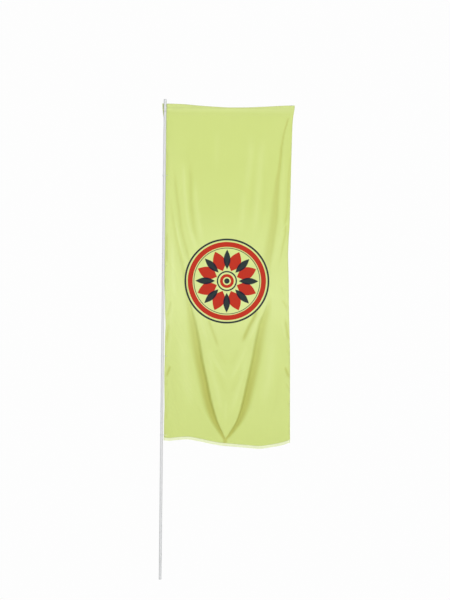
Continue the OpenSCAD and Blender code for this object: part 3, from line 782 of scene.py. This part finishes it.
def thread_material(name, colour):
    m = Mat(name)
    place = m.mapping(m.coords(), (1, 1, 1))
    twist = m.wave(place, 900, "DIAGONAL", distortion=0.4, detail_scale=3)
    m.set(Base_Color=m.tint(colour, scaled(colour, 0.72), twist, amount=0.4),
          Normal=m.bump(twist, strength=0.3, distance=0.0001),
          Roughness=0.55, Sheen_Weight=0.15)
    return m.material


def aluminium(name, colour, rough, metallic, lines, wear, soil=None):
    """Fine lines along Z, soft mottling, brighter edges and small scuffs. lines and wear are
    strengths; soil is the height in metres that dirt reaches."""
    m = Mat(name)
    place = m.coords()
    drawn = m.noise(place, detail=2.0, stretch=(2600, 2600, 9))
    mottle = m.noise(place, scale=26.0, detail=4.0, roughness=0.6)
    scuff = m.noise(place, detail=6.0, roughness=0.7, stretch=(240, 240, 55))
    scuff = m.above(scuff, threshold=0.66, gain=5.0)
    edge = m.node("ShaderNodeNewGeometry").outputs["Pointiness"]
    edge = m.above(edge, threshold=0.53, gain=9.0)
    base = m.tint(colour, scaled(colour, 0.86), mottle, amount=0.22)
    base = m.tint(base, scaled(colour, 1.12), drawn, amount=0.12 * lines)
    base = m.tint(base, scaled(colour, 0.7), scuff, amount=wear)
    base = m.tint(base, scaled(colour, 1.15), edge, amount=0.5)
    if soil:
        low = m.mul(m.sub(soil, m.separate(place)[2]), 1 / soil, clamp=True)
        specks = m.noise(place, scale=90.0, detail=5.0, roughness=0.7)
        dirt = m.mul(m.mul(low, low), specks, clamp=True)
        base = m.tint(base, srgb(120, 112, 98), dirt, amount=0.5)
    normal = m.bump(drawn, strength=0.06 * lines, distance=0.0002)
    m.set(Base_Color=base, Metallic=metallic, Anisotropic=0.35 * lines,
          Roughness=m.plus(m.plus(rough, mottle, amount=0.12), scuff, amount=0.18),
          Normal=m.bump(scuff, strength=0.08, distance=0.0003, under=normal))
    return m.material


def steel(name, colour, rough):
    m = Mat(name)
    place = m.coords()
    grain = m.noise(place, detail=4.0, stretch=(900, 900, 900))
    blotch = m.noise(place, scale=210.0, detail=5.0, roughness=0.65)
    m.set(Base_Color=m.tint(colour, scaled(colour, 0.66), blotch, amount=0.4),
          Roughness=m.plus(rough, grain, amount=0.22),
          Normal=m.bump(grain, strength=0.08, distance=0.0001), Metallic=1.0)
    return m.material


def plastic(name, colour, rough, grain_scale, grain, scuffs):
    """Moulded plastic; grain and scuffs are strengths."""
    m = Mat(name)
    place = m.coords()
    texture = m.noise(place, scale=grain_scale, roughness=0.6)
    flow = m.noise(place, scale=18.0)
    rub = m.noise(place, detail=6.0, roughness=0.7, stretch=(150, 150, 60))
    rub = m.above(rub, threshold=0.62, gain=4.0)
    base = m.tint(colour, scaled(colour, 0.88), flow, amount=0.3)
    base = m.tint(base, scaled(colour, 0.6, lift=0.12), rub, amount=scuffs)
    m.set(Base_Color=base, Roughness=m.plus(rough, rub, amount=0.2),
          Normal=m.bump(texture, strength=grain, distance=0.0003))
    return m.material


def cord_material():
    """Braid: strands that cross both ways round the cord, some of them flecked."""
    m = Mat("tie_cord_braid")
    u, v, _ = m.separate(m.uv())
    along, around = m.mul(u, 420.0), m.mul(v, 8.0)

    def strands(phase):
        return m.math("ABSOLUTE", m.math("SINE", m.mul(phase, math.pi)))

    braid = m.mul(strands(m.add(along, around)), strands(m.sub(along, around)))
    every_other = m.math("SINE", m.mul(m.add(along, around), math.pi / 2))
    fleck = m.math("GREATER_THAN", every_other, 0.93)
    base = m.mix(braid, srgb(206, 208, 209), srgb(238, 239, 240))
    m.set(Base_Color=m.tint(base, srgb(176, 186, 140), fleck, amount=0.6),
          Normal=m.bump(braid, strength=0.7, distance=0.0004),
          Roughness=0.7, Sheen_Weight=0.2)
    return m.material


POLE = aluminium("pole_anodised", srgb(212, 213, 214), rough=0.50, metallic=0.12, lines=1.0,
                 wear=0.18, soil=0.35)
FOOT = aluminium("foot_turned", srgb(213, 214, 215), rough=0.46, metallic=0.15, lines=0.6,
                 wear=0.25)
MILL = aluminium("ferrule_mill", srgb(196, 198, 202), rough=0.42, metallic=0.9, lines=1.0,
                 wear=0.5)
HUB = aluminium("hub_machined", srgb(216, 218, 219), rough=0.42, metallic=0.3, lines=0.5,
                wear=0.3)
ARM = aluminium("arm_mill", srgb(200, 203, 207), rough=0.38, metallic=0.9, lines=1.0,
                wear=0.5)
RIVET = aluminium("rivet_plain", srgb(204, 206, 208), rough=0.32, metallic=0.9, lines=0.1,
                  wear=0.4)
SPRING = steel("spring_blued", srgb(126, 130, 138), rough=0.3)
BUTTON = steel("button_turned", srgb(160, 163, 168), rough=0.24)
SCREW = steel("screw_zinc", srgb(176, 178, 176), rough=0.3)
EYELET = aluminium("eyelet_lacquered", srgb(206, 218, 134), rough=0.34, metallic=0.25,
                   lines=0.2, wear=0.25)
BUSH = plastic("bush_acetal", srgb(236, 234, 226), rough=0.34, grain_scale=300, grain=0.05,
               scuffs=0.15)
SHOE = plastic("shoe_moulded", srgb(62, 65, 69), rough=0.5, grain_scale=500, grain=0.25,
               scuffs=0.35)
BALL = plastic("ball_moulded", srgb(219, 221, 223), rough=0.3, grain_scale=380, grain=0.06,
               scuffs=0.3)
CLOTH = cloth_material()
HEM = tape_material("hem_tape", srgb(231, 239, 196), srgb(206, 207, 184), pitch=0.0014)
WEB = tape_material("hoist_webbing", srgb(230, 234, 200), srgb(196, 203, 158), pitch=0.0018)
# the fly hem's ribs and spots reuse the cloth's painted shade colour as their darker tone
FLY_HEM = tape_material("fly_hem_cloth", LIME, LIME_PAINTED_SHADE_AND_RIBS, pitch=0.0011)
THREAD = thread_material("thread_lime", srgb(224, 232, 160))
CORD = cord_material()

CAD_FINISH = {
    POLE: ["pole_lower", "pole_middle", "pole_upper"],
    FOOT: ["foot_plug"],
    MILL: ["ferrule_lower", "ferrule_upper", "head_spindle"],
    RIVET: ["ferrule_rivets", "foot_rivets", "spindle_rivets"],
    SPRING: ["spring_clip_lower", "spring_clip_upper"],
    BUTTON: ["snap_button_lower", "snap_button_upper"],
    BUSH: ["lower_bush", "upper_bush", "thrust_washer"],
    HUB: ["swivel_hub", "head_cap"],
    SCREW: ["retaining_screw", "retaining_washer", "arm_set_screws"],
    ARM: ["banner_arm"],
    SHOE: ["arm_root_shoe", "arm_tip_shoe"],
    EYELET: ["hoist_eyelets", "eyelet_washers"],
    BALL: ["toggle_ball_1", "toggle_ball_2", "toggle_ball_3", "toggle_ball_4"],
}
for material, pieces in CAD_FINISH.items():
    for piece in pieces:
        for material_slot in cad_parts[piece].material_slots:
            material_slot.material = material

# =====================================================================================
# Banner cloth
# =====================================================================================


def x_at(u, z):
    """x at share u of the way from the hoist to the fly."""
    left, right = curve(z, HOIST), curve(z, FLY)
    return left + (right - left) * u


def bottom_at(u):
    """Height of the bottom edge in column u, closed in on from a first guess."""
    z = np.full_like(u, 1220.0)
    for _ in range(3):
        z = curve(x_at(u, z), BOTTOM)
    return z


def sheet_points(cols, rows):
    """Grid of x, y and z, with rows from the bottom edge up to the seam."""
    u = np.linspace(0, 1, cols)
    bottom = bottom_at(u)
    v = np.linspace(0, 1, rows)
    z = bottom[None, :] + (SEAM_Z - bottom[None, :]) * v[:, None]
    x = x_at(np.broadcast_to(u[None, :], z.shape), z)
    return x, drape(x, z)[0] + ripple(x, z), z


def weight_group(obj, name, weights, digits):
    """Vertex group of rounded weights."""
    group = obj.vertex_groups.new(name=name)
    weights = np.round(weights.ravel(), digits)
    for weight in np.unique(weights):
        group.add([int(i) for i in np.nonzero(weights == weight)[0]], float(weight), "REPLACE")


def settle(cols=74, rows=176, frames=26, longest_move=16.0):
    """Lets a coarse copy of the cloth settle and gives how far each of its points moved."""
    x, y, z = sheet_points(cols, rows)
    start = np.stack([x, y, z], axis=-1).reshape(-1, 3)
    obj = mesh_object("settle_sheet", start, grid_faces(rows, cols))
    # held fast at the seam and the ties, firmly at the hoist and lightly elsewhere
    hold = np.full((rows, cols), 0.30)
    hold[-2:, :] = 1.0
    for tie in TIES:
        hold[(np.abs(z - tie) < 26) & (x - x[:, :1] < 40)] = 1.0
    hold[:, :3] = np.maximum(hold[:, :3], 0.8)
    weight_group(obj, "hold", hold, digits=2)
    weight_group(obj, "slack", fall(z, 2900, 700) * 0.7 + 0.3, digits=1)

    mod = obj.modifiers.new("Cloth", "CLOTH")
    s = mod.settings
    s.quality = 6
    s.mass = 0.12
    s.tension_stiffness = 18
    s.compression_stiffness = 12
    s.shear_stiffness = 6
    s.bending_stiffness = 0.35
    s.air_damping = 1.5
    s.vertex_group_mass = "hold"
    s.pin_stiffness = 0.35
    s.shrink_min = 0.0
    s.shrink_max = -0.012
    s.vertex_group_shrink = "slack"
    mod.collision_settings.use_collision = False
    mod.collision_settings.use_self_collision = False
    mod.point_cache.frame_start = 1
    mod.point_cache.frame_end = frames
    scene = bpy.context.scene
    for f in range(1, frames + 1):
        scene.frame_set(f)
    settled = obj.evaluated_get(bpy.context.evaluated_depsgraph_get())
    me = settled.to_mesh()
    end = np.empty(len(me.vertices) * 3)
    me.vertices.foreach_get("co", end)
    end = end.reshape(-1, 3) / MM
    settled.to_mesh_clear()
    scene.frame_set(1)
    data = obj.data
    bpy.data.objects.remove(obj)
    bpy.data.meshes.remove(data)

    move = end - start
    # a point that the solver lost stays where it was
    move[~np.isfinite(move)] = 0
    size = np.linalg.norm(move, axis=1, keepdims=True)
    move *= np.minimum(1, longest_move / np.maximum(size, 1e-9))
    return move.reshape(rows, cols, 3)


def resample(grid, rows, cols):
    """Smooth cubic resample of a coarse grid of vectors."""

    def one_way(a, count, axis):
        n = a.shape[axis]
        q = np.linspace(0, n - 1, count)
        i = np.clip(np.floor(q).astype(int), 0, n - 2)
        shape = [1] * a.ndim
        shape[axis] = count
        t = (q - i).reshape(shape)
        p0, p1, p2, p3 = (np.take(a, np.clip(i + k, 0, n - 1), axis=axis)
                          for k in (-1, 0, 1, 2))
        return 0.5 * (2 * p1 + (p2 - p0) * t + (2 * p0 - 5 * p1 + 4 * p2 - p3) * t ** 2
                      + (3 * p1 - p0 - 3 * p2 + p3) * t ** 3)

    return one_way(one_way(grid, rows, 0), cols, 1)


def settled_move(x, z):
    """Settling of the full sheet. The outline stays where it is: depth is kept, and a little
    slip within the sheet."""
    move = resample(settle(), SHEET_ROWS, SHEET_COLS)
    v = np.linspace(0, 1, SHEET_ROWS)[:, None]
    u = np.linspace(0, 1, SHEET_COLS)[None, :]
    move[:, :, 0] *= smooth(u / 0.03) * smooth((1 - u) / 0.02) * 0.5
    move[:, :, 2] *= smooth(v / 0.02) * 0.5 * smooth((1 - v) / 0.02)
    move[:, :, 1] *= smooth((x - curve(z, HOIST) - 30) / 30)
    return move


def sleeve_rows():
    u = np.linspace(0, 1, SHEET_COLS)
    outline = sleeve(x_at(u, np.full(SHEET_COLS, 4190.0)))
    return np.array([np.stack([x_at(u, z), y, z], axis=-1) for y, z in outline])


REST_X, REST_Y, REST_Z = sheet_points(SHEET_COLS, SHEET_ROWS)
SHEET = np.stack([REST_X, REST_Y, REST_Z], axis=-1)
SHEET = SHEET + settled_move(REST_X, REST_Z)
# unit normals of the sheet, towards -Y
NORMALS = unit(np.cross(np.gradient(SHEET, axis=1), np.gradient(SHEET, axis=0)))

# (x, z) of the eyelet holes: each cord's centre line at its far end from the pole
HOLES = [(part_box(f"tie_cord_{k + 1}")[1][0] / MM - CORD_R, tie) for k, tie in enumerate(TIES)]


def with_parts(faces):
    """Faces with their points and edges, as the cutting tool wants them."""
    return list({v for f in faces for v in f.verts}) + list({e for f in faces for e in f.edges}) \
        + faces


def punch(bm, r=4.75 * MM, sides=16, reach=16 * MM):
    """Cuts the round eyelet holes out of a sheet."""
    angles = [2 * math.pi * i / sides for i in range(sides)]
    directions = [(math.cos(a), math.sin(a)) for a in angles]
    for hole_x, hole_z in HOLES:
        cx, cz = hole_x * MM, hole_z * MM

        def offset(face):
            middle = face.calc_center_median()
            return middle.x - cx, middle.z - cz

        def close(distance):
            return [f for f in bm.faces if math.hypot(*offset(f)) < distance]

        for cos, sin in directions:
            bmesh.ops.bisect_plane(bm, geom=with_parts(close(reach)), dist=1e-7,
                                   plane_co=(cx + r * cos, 0, cz + r * sin),
                                   plane_no=(cos, 0, sin))
        gone = []
        for face in close(r):
            dx, dz = offset(face)
            if all(dx * cos + dz * sin < r for cos, sin in directions):
                gone.append(face)
        bmesh.ops.delete(bm, geom=gone, context="FACES")


def cut_boss_opening(bm):
    """Opening round the arm boss: cuts the plies along its outline, then drops the inside."""
    low_x, high_x = -13.6 * MM, 13.6 * MM
    low_z, high_z = (ARM_Z - 13) * MM, (ARM_Z + 13) * MM

    def near():
        return with_parts([f for f in bm.faces if f.calc_center_median().z > 4.16
                           and f.calc_center_median().x < 0.06])

    for point, normal in (((low_x, 0, 0), (1, 0, 0)), ((high_x, 0, 0), (1, 0, 0)),
                          ((0, 0, low_z), (0, 0, 1)), ((0, 0, high_z), (0, 0, 1))):
        bmesh.ops.bisect_plane(bm, geom=near(), dist=1e-6, plane_co=point, plane_no=normal)
    gone = [f for f in bm.faces if low_x < f.calc_center_median().x < high_x
            and low_z < f.calc_center_median().z < high_z]
    bmesh.ops.delete(bm, geom=gone, context="FACES")


def make_cloth():
    full = np.concatenate([SHEET, sleeve_rows()], axis=0)
    rows = len(full)
    shade = drape(REST_X, REST_Z)[1]
    level = full[..., 1].copy()
    level[:SHEET_ROWS] += 14 * shade
    faces = cloth_faces(rows, SHEET_COLS, level)
    obj = mesh_object("banner_sheet", full.reshape(-1, 3), faces)
    me = obj.data
    # the sleeve's UV height runs on along the cloth
    run = np.cumsum(np.linalg.norm(np.diff(full, axis=0), axis=-1).mean(axis=1))
    height = full[..., 2].copy()
    height[SHEET_ROWS:] = (SEAM_Z + (run[SHEET_ROWS - 1:] - run[SHEET_ROWS - 2]))[:, None]
    span = UV_SPAN / MM
    set_uv(me, np.stack([(full[..., 0] + UV_SHIFT / MM) / span, height / span], axis=-1))
    # painted shade where the cloth turns away and in the folds; painted highlight on the crests,
    # in the bands of painted light and towards the top of the sleeve
    slope = 1 - np.abs(NORMALS[..., 1])
    fold = np.zeros((rows, SHEET_COLS))
    fold[:SHEET_ROWS] = np.clip(
        np.clip(shade, 0, 1) * 0.8 + np.clip(slope - 0.02, 0, 1) * 0.3, 0, 1)
    # painted light by height and near the hoist
    painted_band = curve(REST_Z, PAINTED_LIGHT_BY_HEIGHT) + curve(REST_Z, PAINTED_LIGHT_AT_HOIST) * fall(REST_X, 240, 120)
    # painted highlight on the sleeve, paler towards its top
    painted_highlight = 0.34 * rise(full[..., 2], 4168, 36)
    painted_highlight[:SHEET_ROWS] = np.clip(
        np.clip(-shade, 0, 1) * 0.66 + painted_band * (1 - 0.75 * np.clip(shade * 1.6, 0, 1)), 0, 1)
    for name, values in (("fold", fold), ("painted_highlight", painted_highlight)):
        attribute = me.attributes.new(name, "FLOAT", "POINT")
        attribute.data.foreach_set("value", values.ravel().astype(np.float32))
    bm = bmesh.new()
    bm.from_mesh(me)
    cut_boss_opening(bm)
    punch(bm)
    bm.to_mesh(me)
    bm.free()
    return finish_fabric(obj, 0.5, CLOTH)


cloth = make_cloth()

# =====================================================================================
# Bottom tape, webbing, side hem and stitching
# =====================================================================================


def from_bottom(col, distance):
    """Point and normal in a column of the sheet, a distance up the cloth from its edge."""
    line = SHEET[:, col]
    run = travel(line)
    return (interpolate(distance, run, line),
            unit(interpolate(distance, run, NORMALS[:, col])))


def sample(u, z):
    """Point and normal of the sheet in column place u at height z."""
    c = np.clip(u, 0, 1) * (SHEET_COLS - 1)
    i = int(min(math.floor(c), SHEET_COLS - 2))
    t = c - i
    heights = SHEET[:, i, 2], SHEET[:, i + 1, 2]
    p, n = (interpolate(z, heights[0], grid[:, i]) * (1 - t)
            + interpolate(z, heights[1], grid[:, i + 1]) * t for grid in (SHEET, NORMALS))
    return p, unit(n)


def edge_line(inset, z0, z1, count, side):
    """Points and normals of the sheet along a line, inset from a side edge."""
    line = []
    for z in np.linspace(z0, z1, count):
        left, right = curve(z, HOIST), curve(z, FLY)
        x = left + inset if side == "hoist" else right - inset
        line.append(sample((x - left) / (right - left), z))
    points, normals = zip(*line)
    return np.array(points), np.array(normals)


def hem_tape():
    off = 0.95
    # distance up the cloth, offset from its middle (+ is front), drop below its edge
    profile = [(d, off, 0) for d in (25, 18, 11, 5, 1)]
    profile += [(0, off, 1.0), (0, off * 0.6, 1.7), (0, 0, 2.0), (0, -off * 0.6, 1.7),
                (0, -off, 1.0)]
    profile += [(d, -off, 0) for d in (1, 5, 11, 18, 25)]
    rows = len(profile)
    points = np.zeros((rows, SHEET_COLS, 3))
    for col in range(SHEET_COLS):
        for k, (distance, offset, drop) in enumerate(profile):
            p, n = from_bottom(col, distance)
            points[k, col] = p + n * offset
            points[k, col, 2] -= drop
    obj = mesh_object("bottom_tape", points.reshape(-1, 3), grid_faces(rows, SHEET_COLS))
    uv = np.zeros((rows, SHEET_COLS, 2))
    uv[..., 0] = points[..., 0] / 1000
    uv[..., 1] = np.linspace(0, 0.052, rows)[:, None]
    set_uv(obj.data, uv)
    return finish_fabric(obj, 0.5, HEM)


def strip_behind(name, insets, behind, thickness, z0, z1, side, material, holes=False):
    """Tape that follows the back of the cloth; insets are distances in from a side edge."""
    rows = 320
    lines = [edge_line(inset, z0, z1, rows, side) for inset in insets]
    grid = np.stack([p - n * behind for p, n in lines], axis=1)
    obj = mesh_object(name, grid.reshape(-1, 3), grid_faces(rows, len(insets)))
    uv = np.zeros((rows, len(insets), 2))
    uv[..., 0] = travel(grid[:, 0])[:, None] * MM
    uv[..., 1] = np.array(insets)[None, :] * MM
    set_uv(obj.data, uv)
    if holes:
        bm = bmesh.new()
        bm.from_mesh(obj.data)
        punch(bm)
        bm.to_mesh(obj.data)
        bm.free()
    return finish_fabric(obj, thickness, material)


def seam(name, line, front, back, pitch, length):
    """Stitches on both faces, raised front and back from the middle of the sheet."""
    points, normals = (np.array(part) for part in line)
    return [stitches(name + "_front", points + normals * front, normals, pitch, length),
            stitches(name + "_back", points - normals * back, -normals, pitch, length)]


def side_seam(name, inset, side):
    top, back = (4096, 1.55) if side == "hoist" else (4148, 1.2)
    line = edge_line(inset, 1270, top, 400, side)
    return seam(name, line, front=0.42, back=back, pitch=5.2, length=3.7)


def hem_seam(name, distance):
    line = zip(*[from_bottom(col, distance) for col in range(SHEET_COLS)])
    return seam(name, line, front=1.3, back=1.3, pitch=4.8, length=3.4)


def sleeve_seam(name, z):
    line = zip(*[sample(u, z) for u in np.linspace(0.004, 0.996, 400)])
    return seam(name, line, front=0.35, back=1.55, pitch=4.6, length=3.3)


def join_threads(parts, name):
    bpy.ops.object.select_all(action="DESELECT")
    for part in parts:
        part.select_set(True)
    joined = parts[0]
    bpy.context.view_layer.objects.active = joined
    bpy.ops.object.join()
    joined.name = name
    me = joined.data
    me.materials.clear()
    me.materials.append(THREAD)
    me.polygons.foreach_set("material_index", [0] * len(me.polygons))
    return joined


tape = hem_tape()
webbing = strip_behind("hoist_tape", [0.8, 4, 8, 12.5, 17, 21.5, 25.5, 29.5], behind=0.95,
                       thickness=0.9, z0=1268, z1=4098, side="hoist", material=WEB, holes=True)
fly_hem = strip_behind("fly_hem", [0.3, 3.5, 6.5, 9.8, 13.0], behind=0.75,
                       thickness=0.7, z0=1270, z1=4150, side="fly", material=FLY_HEM)
hoist_seams = (side_seam("seam_hoist_outer", 3.2, "hoist")
               + side_seam("seam_hoist_inner", 27.2, "hoist"))
fly_seams = side_seam("seam_fly", 11.2, "fly")
hem_seams = (hem_seam("seam_hem_low", 4.0) + hem_seam("seam_hem_high", 22.0)
             + sleeve_seam("seam_sleeve_low", 4160.0) + sleeve_seam("seam_sleeve_high", 4154.0))
threads = [
    join_threads(hoist_seams, "hoist_stitches"),
    join_threads(fly_seams, "fly_stitches"),
    join_threads(hem_seams, "hem_stitches"),
]

# =====================================================================================
# Ties
# =====================================================================================


def eyelet_linings():
    """Soft rings between the cords and the eyelets."""
    # radius, y from the cloth at the eyelets
    profile = [(1.95, -0.9), (2.1, -1.2), (2.5, -1.4), (3.7, -1.4), (4.05, -1.25),
               (4.14, -0.9), (4.14, 1.7), (4.05, 2.0), (3.7, 2.15), (2.5, 2.15),
               (2.1, 1.95), (1.95, 1.6)]
    segments, verts, faces = 40, [], []
    for hole_x, hole_z in HOLES:
        faces += ring_faces(segments, len(profile), base=len(verts))
        for i in range(segments):
            a = math.tau * i / segments
            verts += [(hole_x + r * math.cos(a), EDGE_Y + y, hole_z + r * math.sin(a))
                      for r, y in profile]
    obj = mesh_object("eyelet_linings", verts, faces)
    recalc(obj.data)
    obj.data.materials.append(EYELET)
    return obj


def belt(circles, count):
    """Outline of a belt round (centre, radius) circles."""
    out = []
    for i in range(count):
        a = 2 * math.pi * i / count
        direction = np.array([math.cos(a), math.sin(a)])
        centre, radius = max(circles, key=lambda c: c[0].dot(direction) + c[1])
        out.append(centre + radius * direction)
    return np.array(out)


def even(points, count):
    """Closed polyline at even steps."""
    closed = np.vstack([points, points[:1]])
    run = travel(closed)
    return interpolate(np.linspace(0, run[-1], count, endpoint=False), run, closed)


def braided_cord(name, points):
    """Closed cord along level points, with strands that wind round it."""
    radius, sides = 1.68, 16
    strands, strand_height = 8, 0.03    # height is a share of the radius
    twist = 0.42                        # radians per mm
    count = len(points)
    forward = unit(np.roll(points, -1, 0) - np.roll(points, 1, 0))
    side = unit(np.cross(forward, (0.0, 0.0, 1.0)))
    up = np.cross(side, forward)
    run = travel(points)
    verts = np.zeros((count, sides, 3))
    for j in range(sides):
        a = 2 * math.pi * j / sides
        r = radius * (1 + strand_height * np.cos(strands * (a + twist * run)))
        verts[:, j] = points + (side * math.cos(a) + up * math.sin(a)) * r[:, None]
    obj = mesh_object(name, verts.reshape(-1, 3), ring_faces(count, sides))
    recalc(obj.data)
    uv = np.zeros((count, sides, 2))
    uv[:, :, 0] = run[:, None] * MM
    uv[:, :, 1] = (np.arange(sides) / sides)[None, :]
    set_uv(obj.data, uv)
    obj.data.materials.append(CORD)
    return obj


def tie(k):
    """Cord round the pole, through eyelet k and past the toggle ball's middle."""
    low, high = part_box(f"toggle_ball_{k + 1}")
    ball_x, ball_y = (low[0] + high[0]) / 2 / MM, (low[1] + high[1]) / 2 / MM
    hole_x, z = HOLES[k]
    pole_gap, eyelet_bend, ball_bend = 0.35, 6.5, 2.5
    circles = [
        (np.array([0.0, 0.0]), POLE_R + CORD_R + pole_gap),
        (np.array([hole_x - eyelet_bend, EDGE_Y + 0.4]), eyelet_bend),
        (np.array([ball_x, ball_y - ball_bend]), ball_bend),
    ]
    path = even(belt(circles, 720), 150)
    return braided_cord(f"tie_braid_{k + 1}", np.column_stack([path, np.full(len(path), z)]))


linings = eyelet_linings()
cords = [tie(k) for k in range(len(TIES))]

# =====================================================================================
# Spring strips of the snap buttons, which bend when a button is pressed
# =====================================================================================


def spring_strip(name, node):
    """The clip with rows of points up its arms, so that one arm can bend while the other
    stays on the wall. Also gives where the bend starts and ends."""
    low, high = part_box(node)
    bm = bmesh.new()
    bm.from_mesh(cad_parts[node].data)
    z = low[2] + 6.5 * MM
    while z < high[2] - 0.5 * MM:
        geom = list(bm.verts) + list(bm.edges) + list(bm.faces)
        bmesh.ops.bisect_plane(bm, geom=geom, dist=1e-7, plane_co=(0, 0, z), plane_no=(0, 0, 1))
        z += 1.5 * MM
    me = bpy.data.meshes.new(name)
    bm.to_mesh(me)
    bm.free()
    me.materials.clear()
    me.materials.append(SPRING)
    obj = put(bpy.data.objects.new(name, me))
    root = Vector((-5.0 * MM, 0, low[2] + 6.0 * MM))
    return obj, root, root + Vector((-7.6 * MM, 0, 2.73 * MM))


strips = {k: spring_strip(f"spring_strip_{k}", f"spring_clip_{k}") for k in ("lower", "upper")}

# =====================================================================================
# What rides on what, and what stands for what
# =====================================================================================

for obj in [cloth, tape, webbing, fly_hem, linings] + threads + cords:
    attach(obj, "head")
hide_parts("banner_cloth")
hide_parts("bottom_hem_tape")
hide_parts("hoist_webbing")
for k, cord in enumerate(cords):
    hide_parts(f"tie_cord_{k + 1}")
# each strip stands for its spring clip, with its placement baked into its points
for k, (obj, root, free) in strips.items():
    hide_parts(f"spring_clip_{k}")
    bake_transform(obj)
    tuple(root)
    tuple(free)

# =====================================================================================
# Floor, light and camera
# =====================================================================================

AMBIENT = 0.31   # strength of the even light
PAPER = 0.985    # brightness of the white seen behind the object


def floor_material():
    m = Mat("floor_pale")
    cloud = m.noise(m.coords(), scale=1.5)
    m.set(Base_Color=m.tint((0.93, 0.93, 0.93), (0.90, 0.90, 0.90), cloud, amount=0.12),
          Roughness=0.85, Specular_IOR_Level=0.1,
          Emission_Color=(1, 1, 1), Emission_Strength=0.45)
    # the camera sees it as even white paper, no brighter than the world behind it
    paper = m.node("ShaderNodeEmission")
    m.feed((1, 1, 1), paper.inputs["Color"])
    m.feed(PAPER, paper.inputs["Strength"])
    camera_ray = m.node("ShaderNodeLightPath").outputs["Is Camera Ray"]
    m.surface_mix(camera_ray, paper.outputs[0])
    return m.material


def floor():
    """Round floor with no wall, so that the object can be seen from every side."""
    radius, sides = 60000, 96
    angles = [math.tau * i / sides for i in range(sides)]
    rim = [(radius * math.cos(a), radius * math.sin(a), 0) for a in angles]
    faces = [(0, 1 + i, 1 + (i + 1) % sides) for i in range(sides)]
    obj = mesh_object("studio_floor", [(0, 0, 0)] + rim, faces)
    obj.data.materials.append(floor_material())


def studio_world():
    """White where the camera sees it, and a weaker even light for everything else."""
    world = bpy.data.worlds.new("studio")
    bpy.context.scene.world = world
    world.use_nodes = True
    tree = world.node_tree
    background = tree.nodes["Background"]
    background.inputs[0].default_value = (1, 1, 1, 1)
    path = tree.nodes.new("ShaderNodeLightPath")
    strength = tree.nodes.new("ShaderNodeMath")
    strength.operation = "MULTIPLY_ADD"
    tree.links.new(path.outputs["Is Camera Ray"], strength.inputs[0])
    strength.inputs[1].default_value = PAPER - AMBIENT
    strength.inputs[2].default_value = AMBIENT
    tree.links.new(strength.outputs[0], background.inputs[1])


# name, place (m), aim (m), side of the square (m), power (W)
LIGHTS = [
    ("key", (2.4, -8.6, 9.6), (0.55, 0, 2.2), 3.4, 335),
    ("fill", (-1.2, -9.5, 3.6), (0.55, 0, 2.1), 4.5, 110),
    ("front", (1.6, -12.0, 1.3), (0.55, 0, 1.6), 5.0, 265),
    ("rear_high", (3.6, 8.8, 6.4), (0.55, 0, 2.2), 4.5, 190),
    ("rear_low", (-2.6, 9.6, 2.2), (0.55, 0, 2.0), 4.5, 120),
]


def area_light(name, place, aim, size, power):
    light = bpy.data.lights.new(name, "AREA")
    light.shape = "RECTANGLE"
    light.size = size
    light.size_y = size
    light.energy = power
    obj = put(bpy.data.objects.new(name, light))
    obj.location = place
    direction = Vector(aim) - Vector(place)
    obj.rotation_euler = direction.to_track_quat("-Z", "Y").to_euler()
    obj.visible_camera = False


def camera():
    """Camera level with its aim, straight in front and rolled a little."""
    distance = 18.0      # m
    view_height = 5.358  # m seen at the pole's distance
    aim = Vector((0.553, 0.0, 2.502))
    roll = -math.atan(0.0107)
    data = bpy.data.cameras.new("camera")
    obj = put(bpy.data.objects.new("camera", data))
    data.sensor_fit = "VERTICAL"
    data.sensor_height = 36.0
    data.lens = 36.0 * distance / view_height
    data.clip_end = 200
    obj.location = aim + Vector((0, -distance, 0))
    obj.rotation_mode = "XYZ"
    obj.rotation_euler = (math.pi / 2, roll, 0)
    bpy.context.scene.camera = obj


floor()
studio_world()
for light in LIGHTS:
    area_light(*light)
view = bpy.context.scene.view_settings
view.view_transform = "Standard"
view.look = "None"
view.exposure = 0.0
camera()
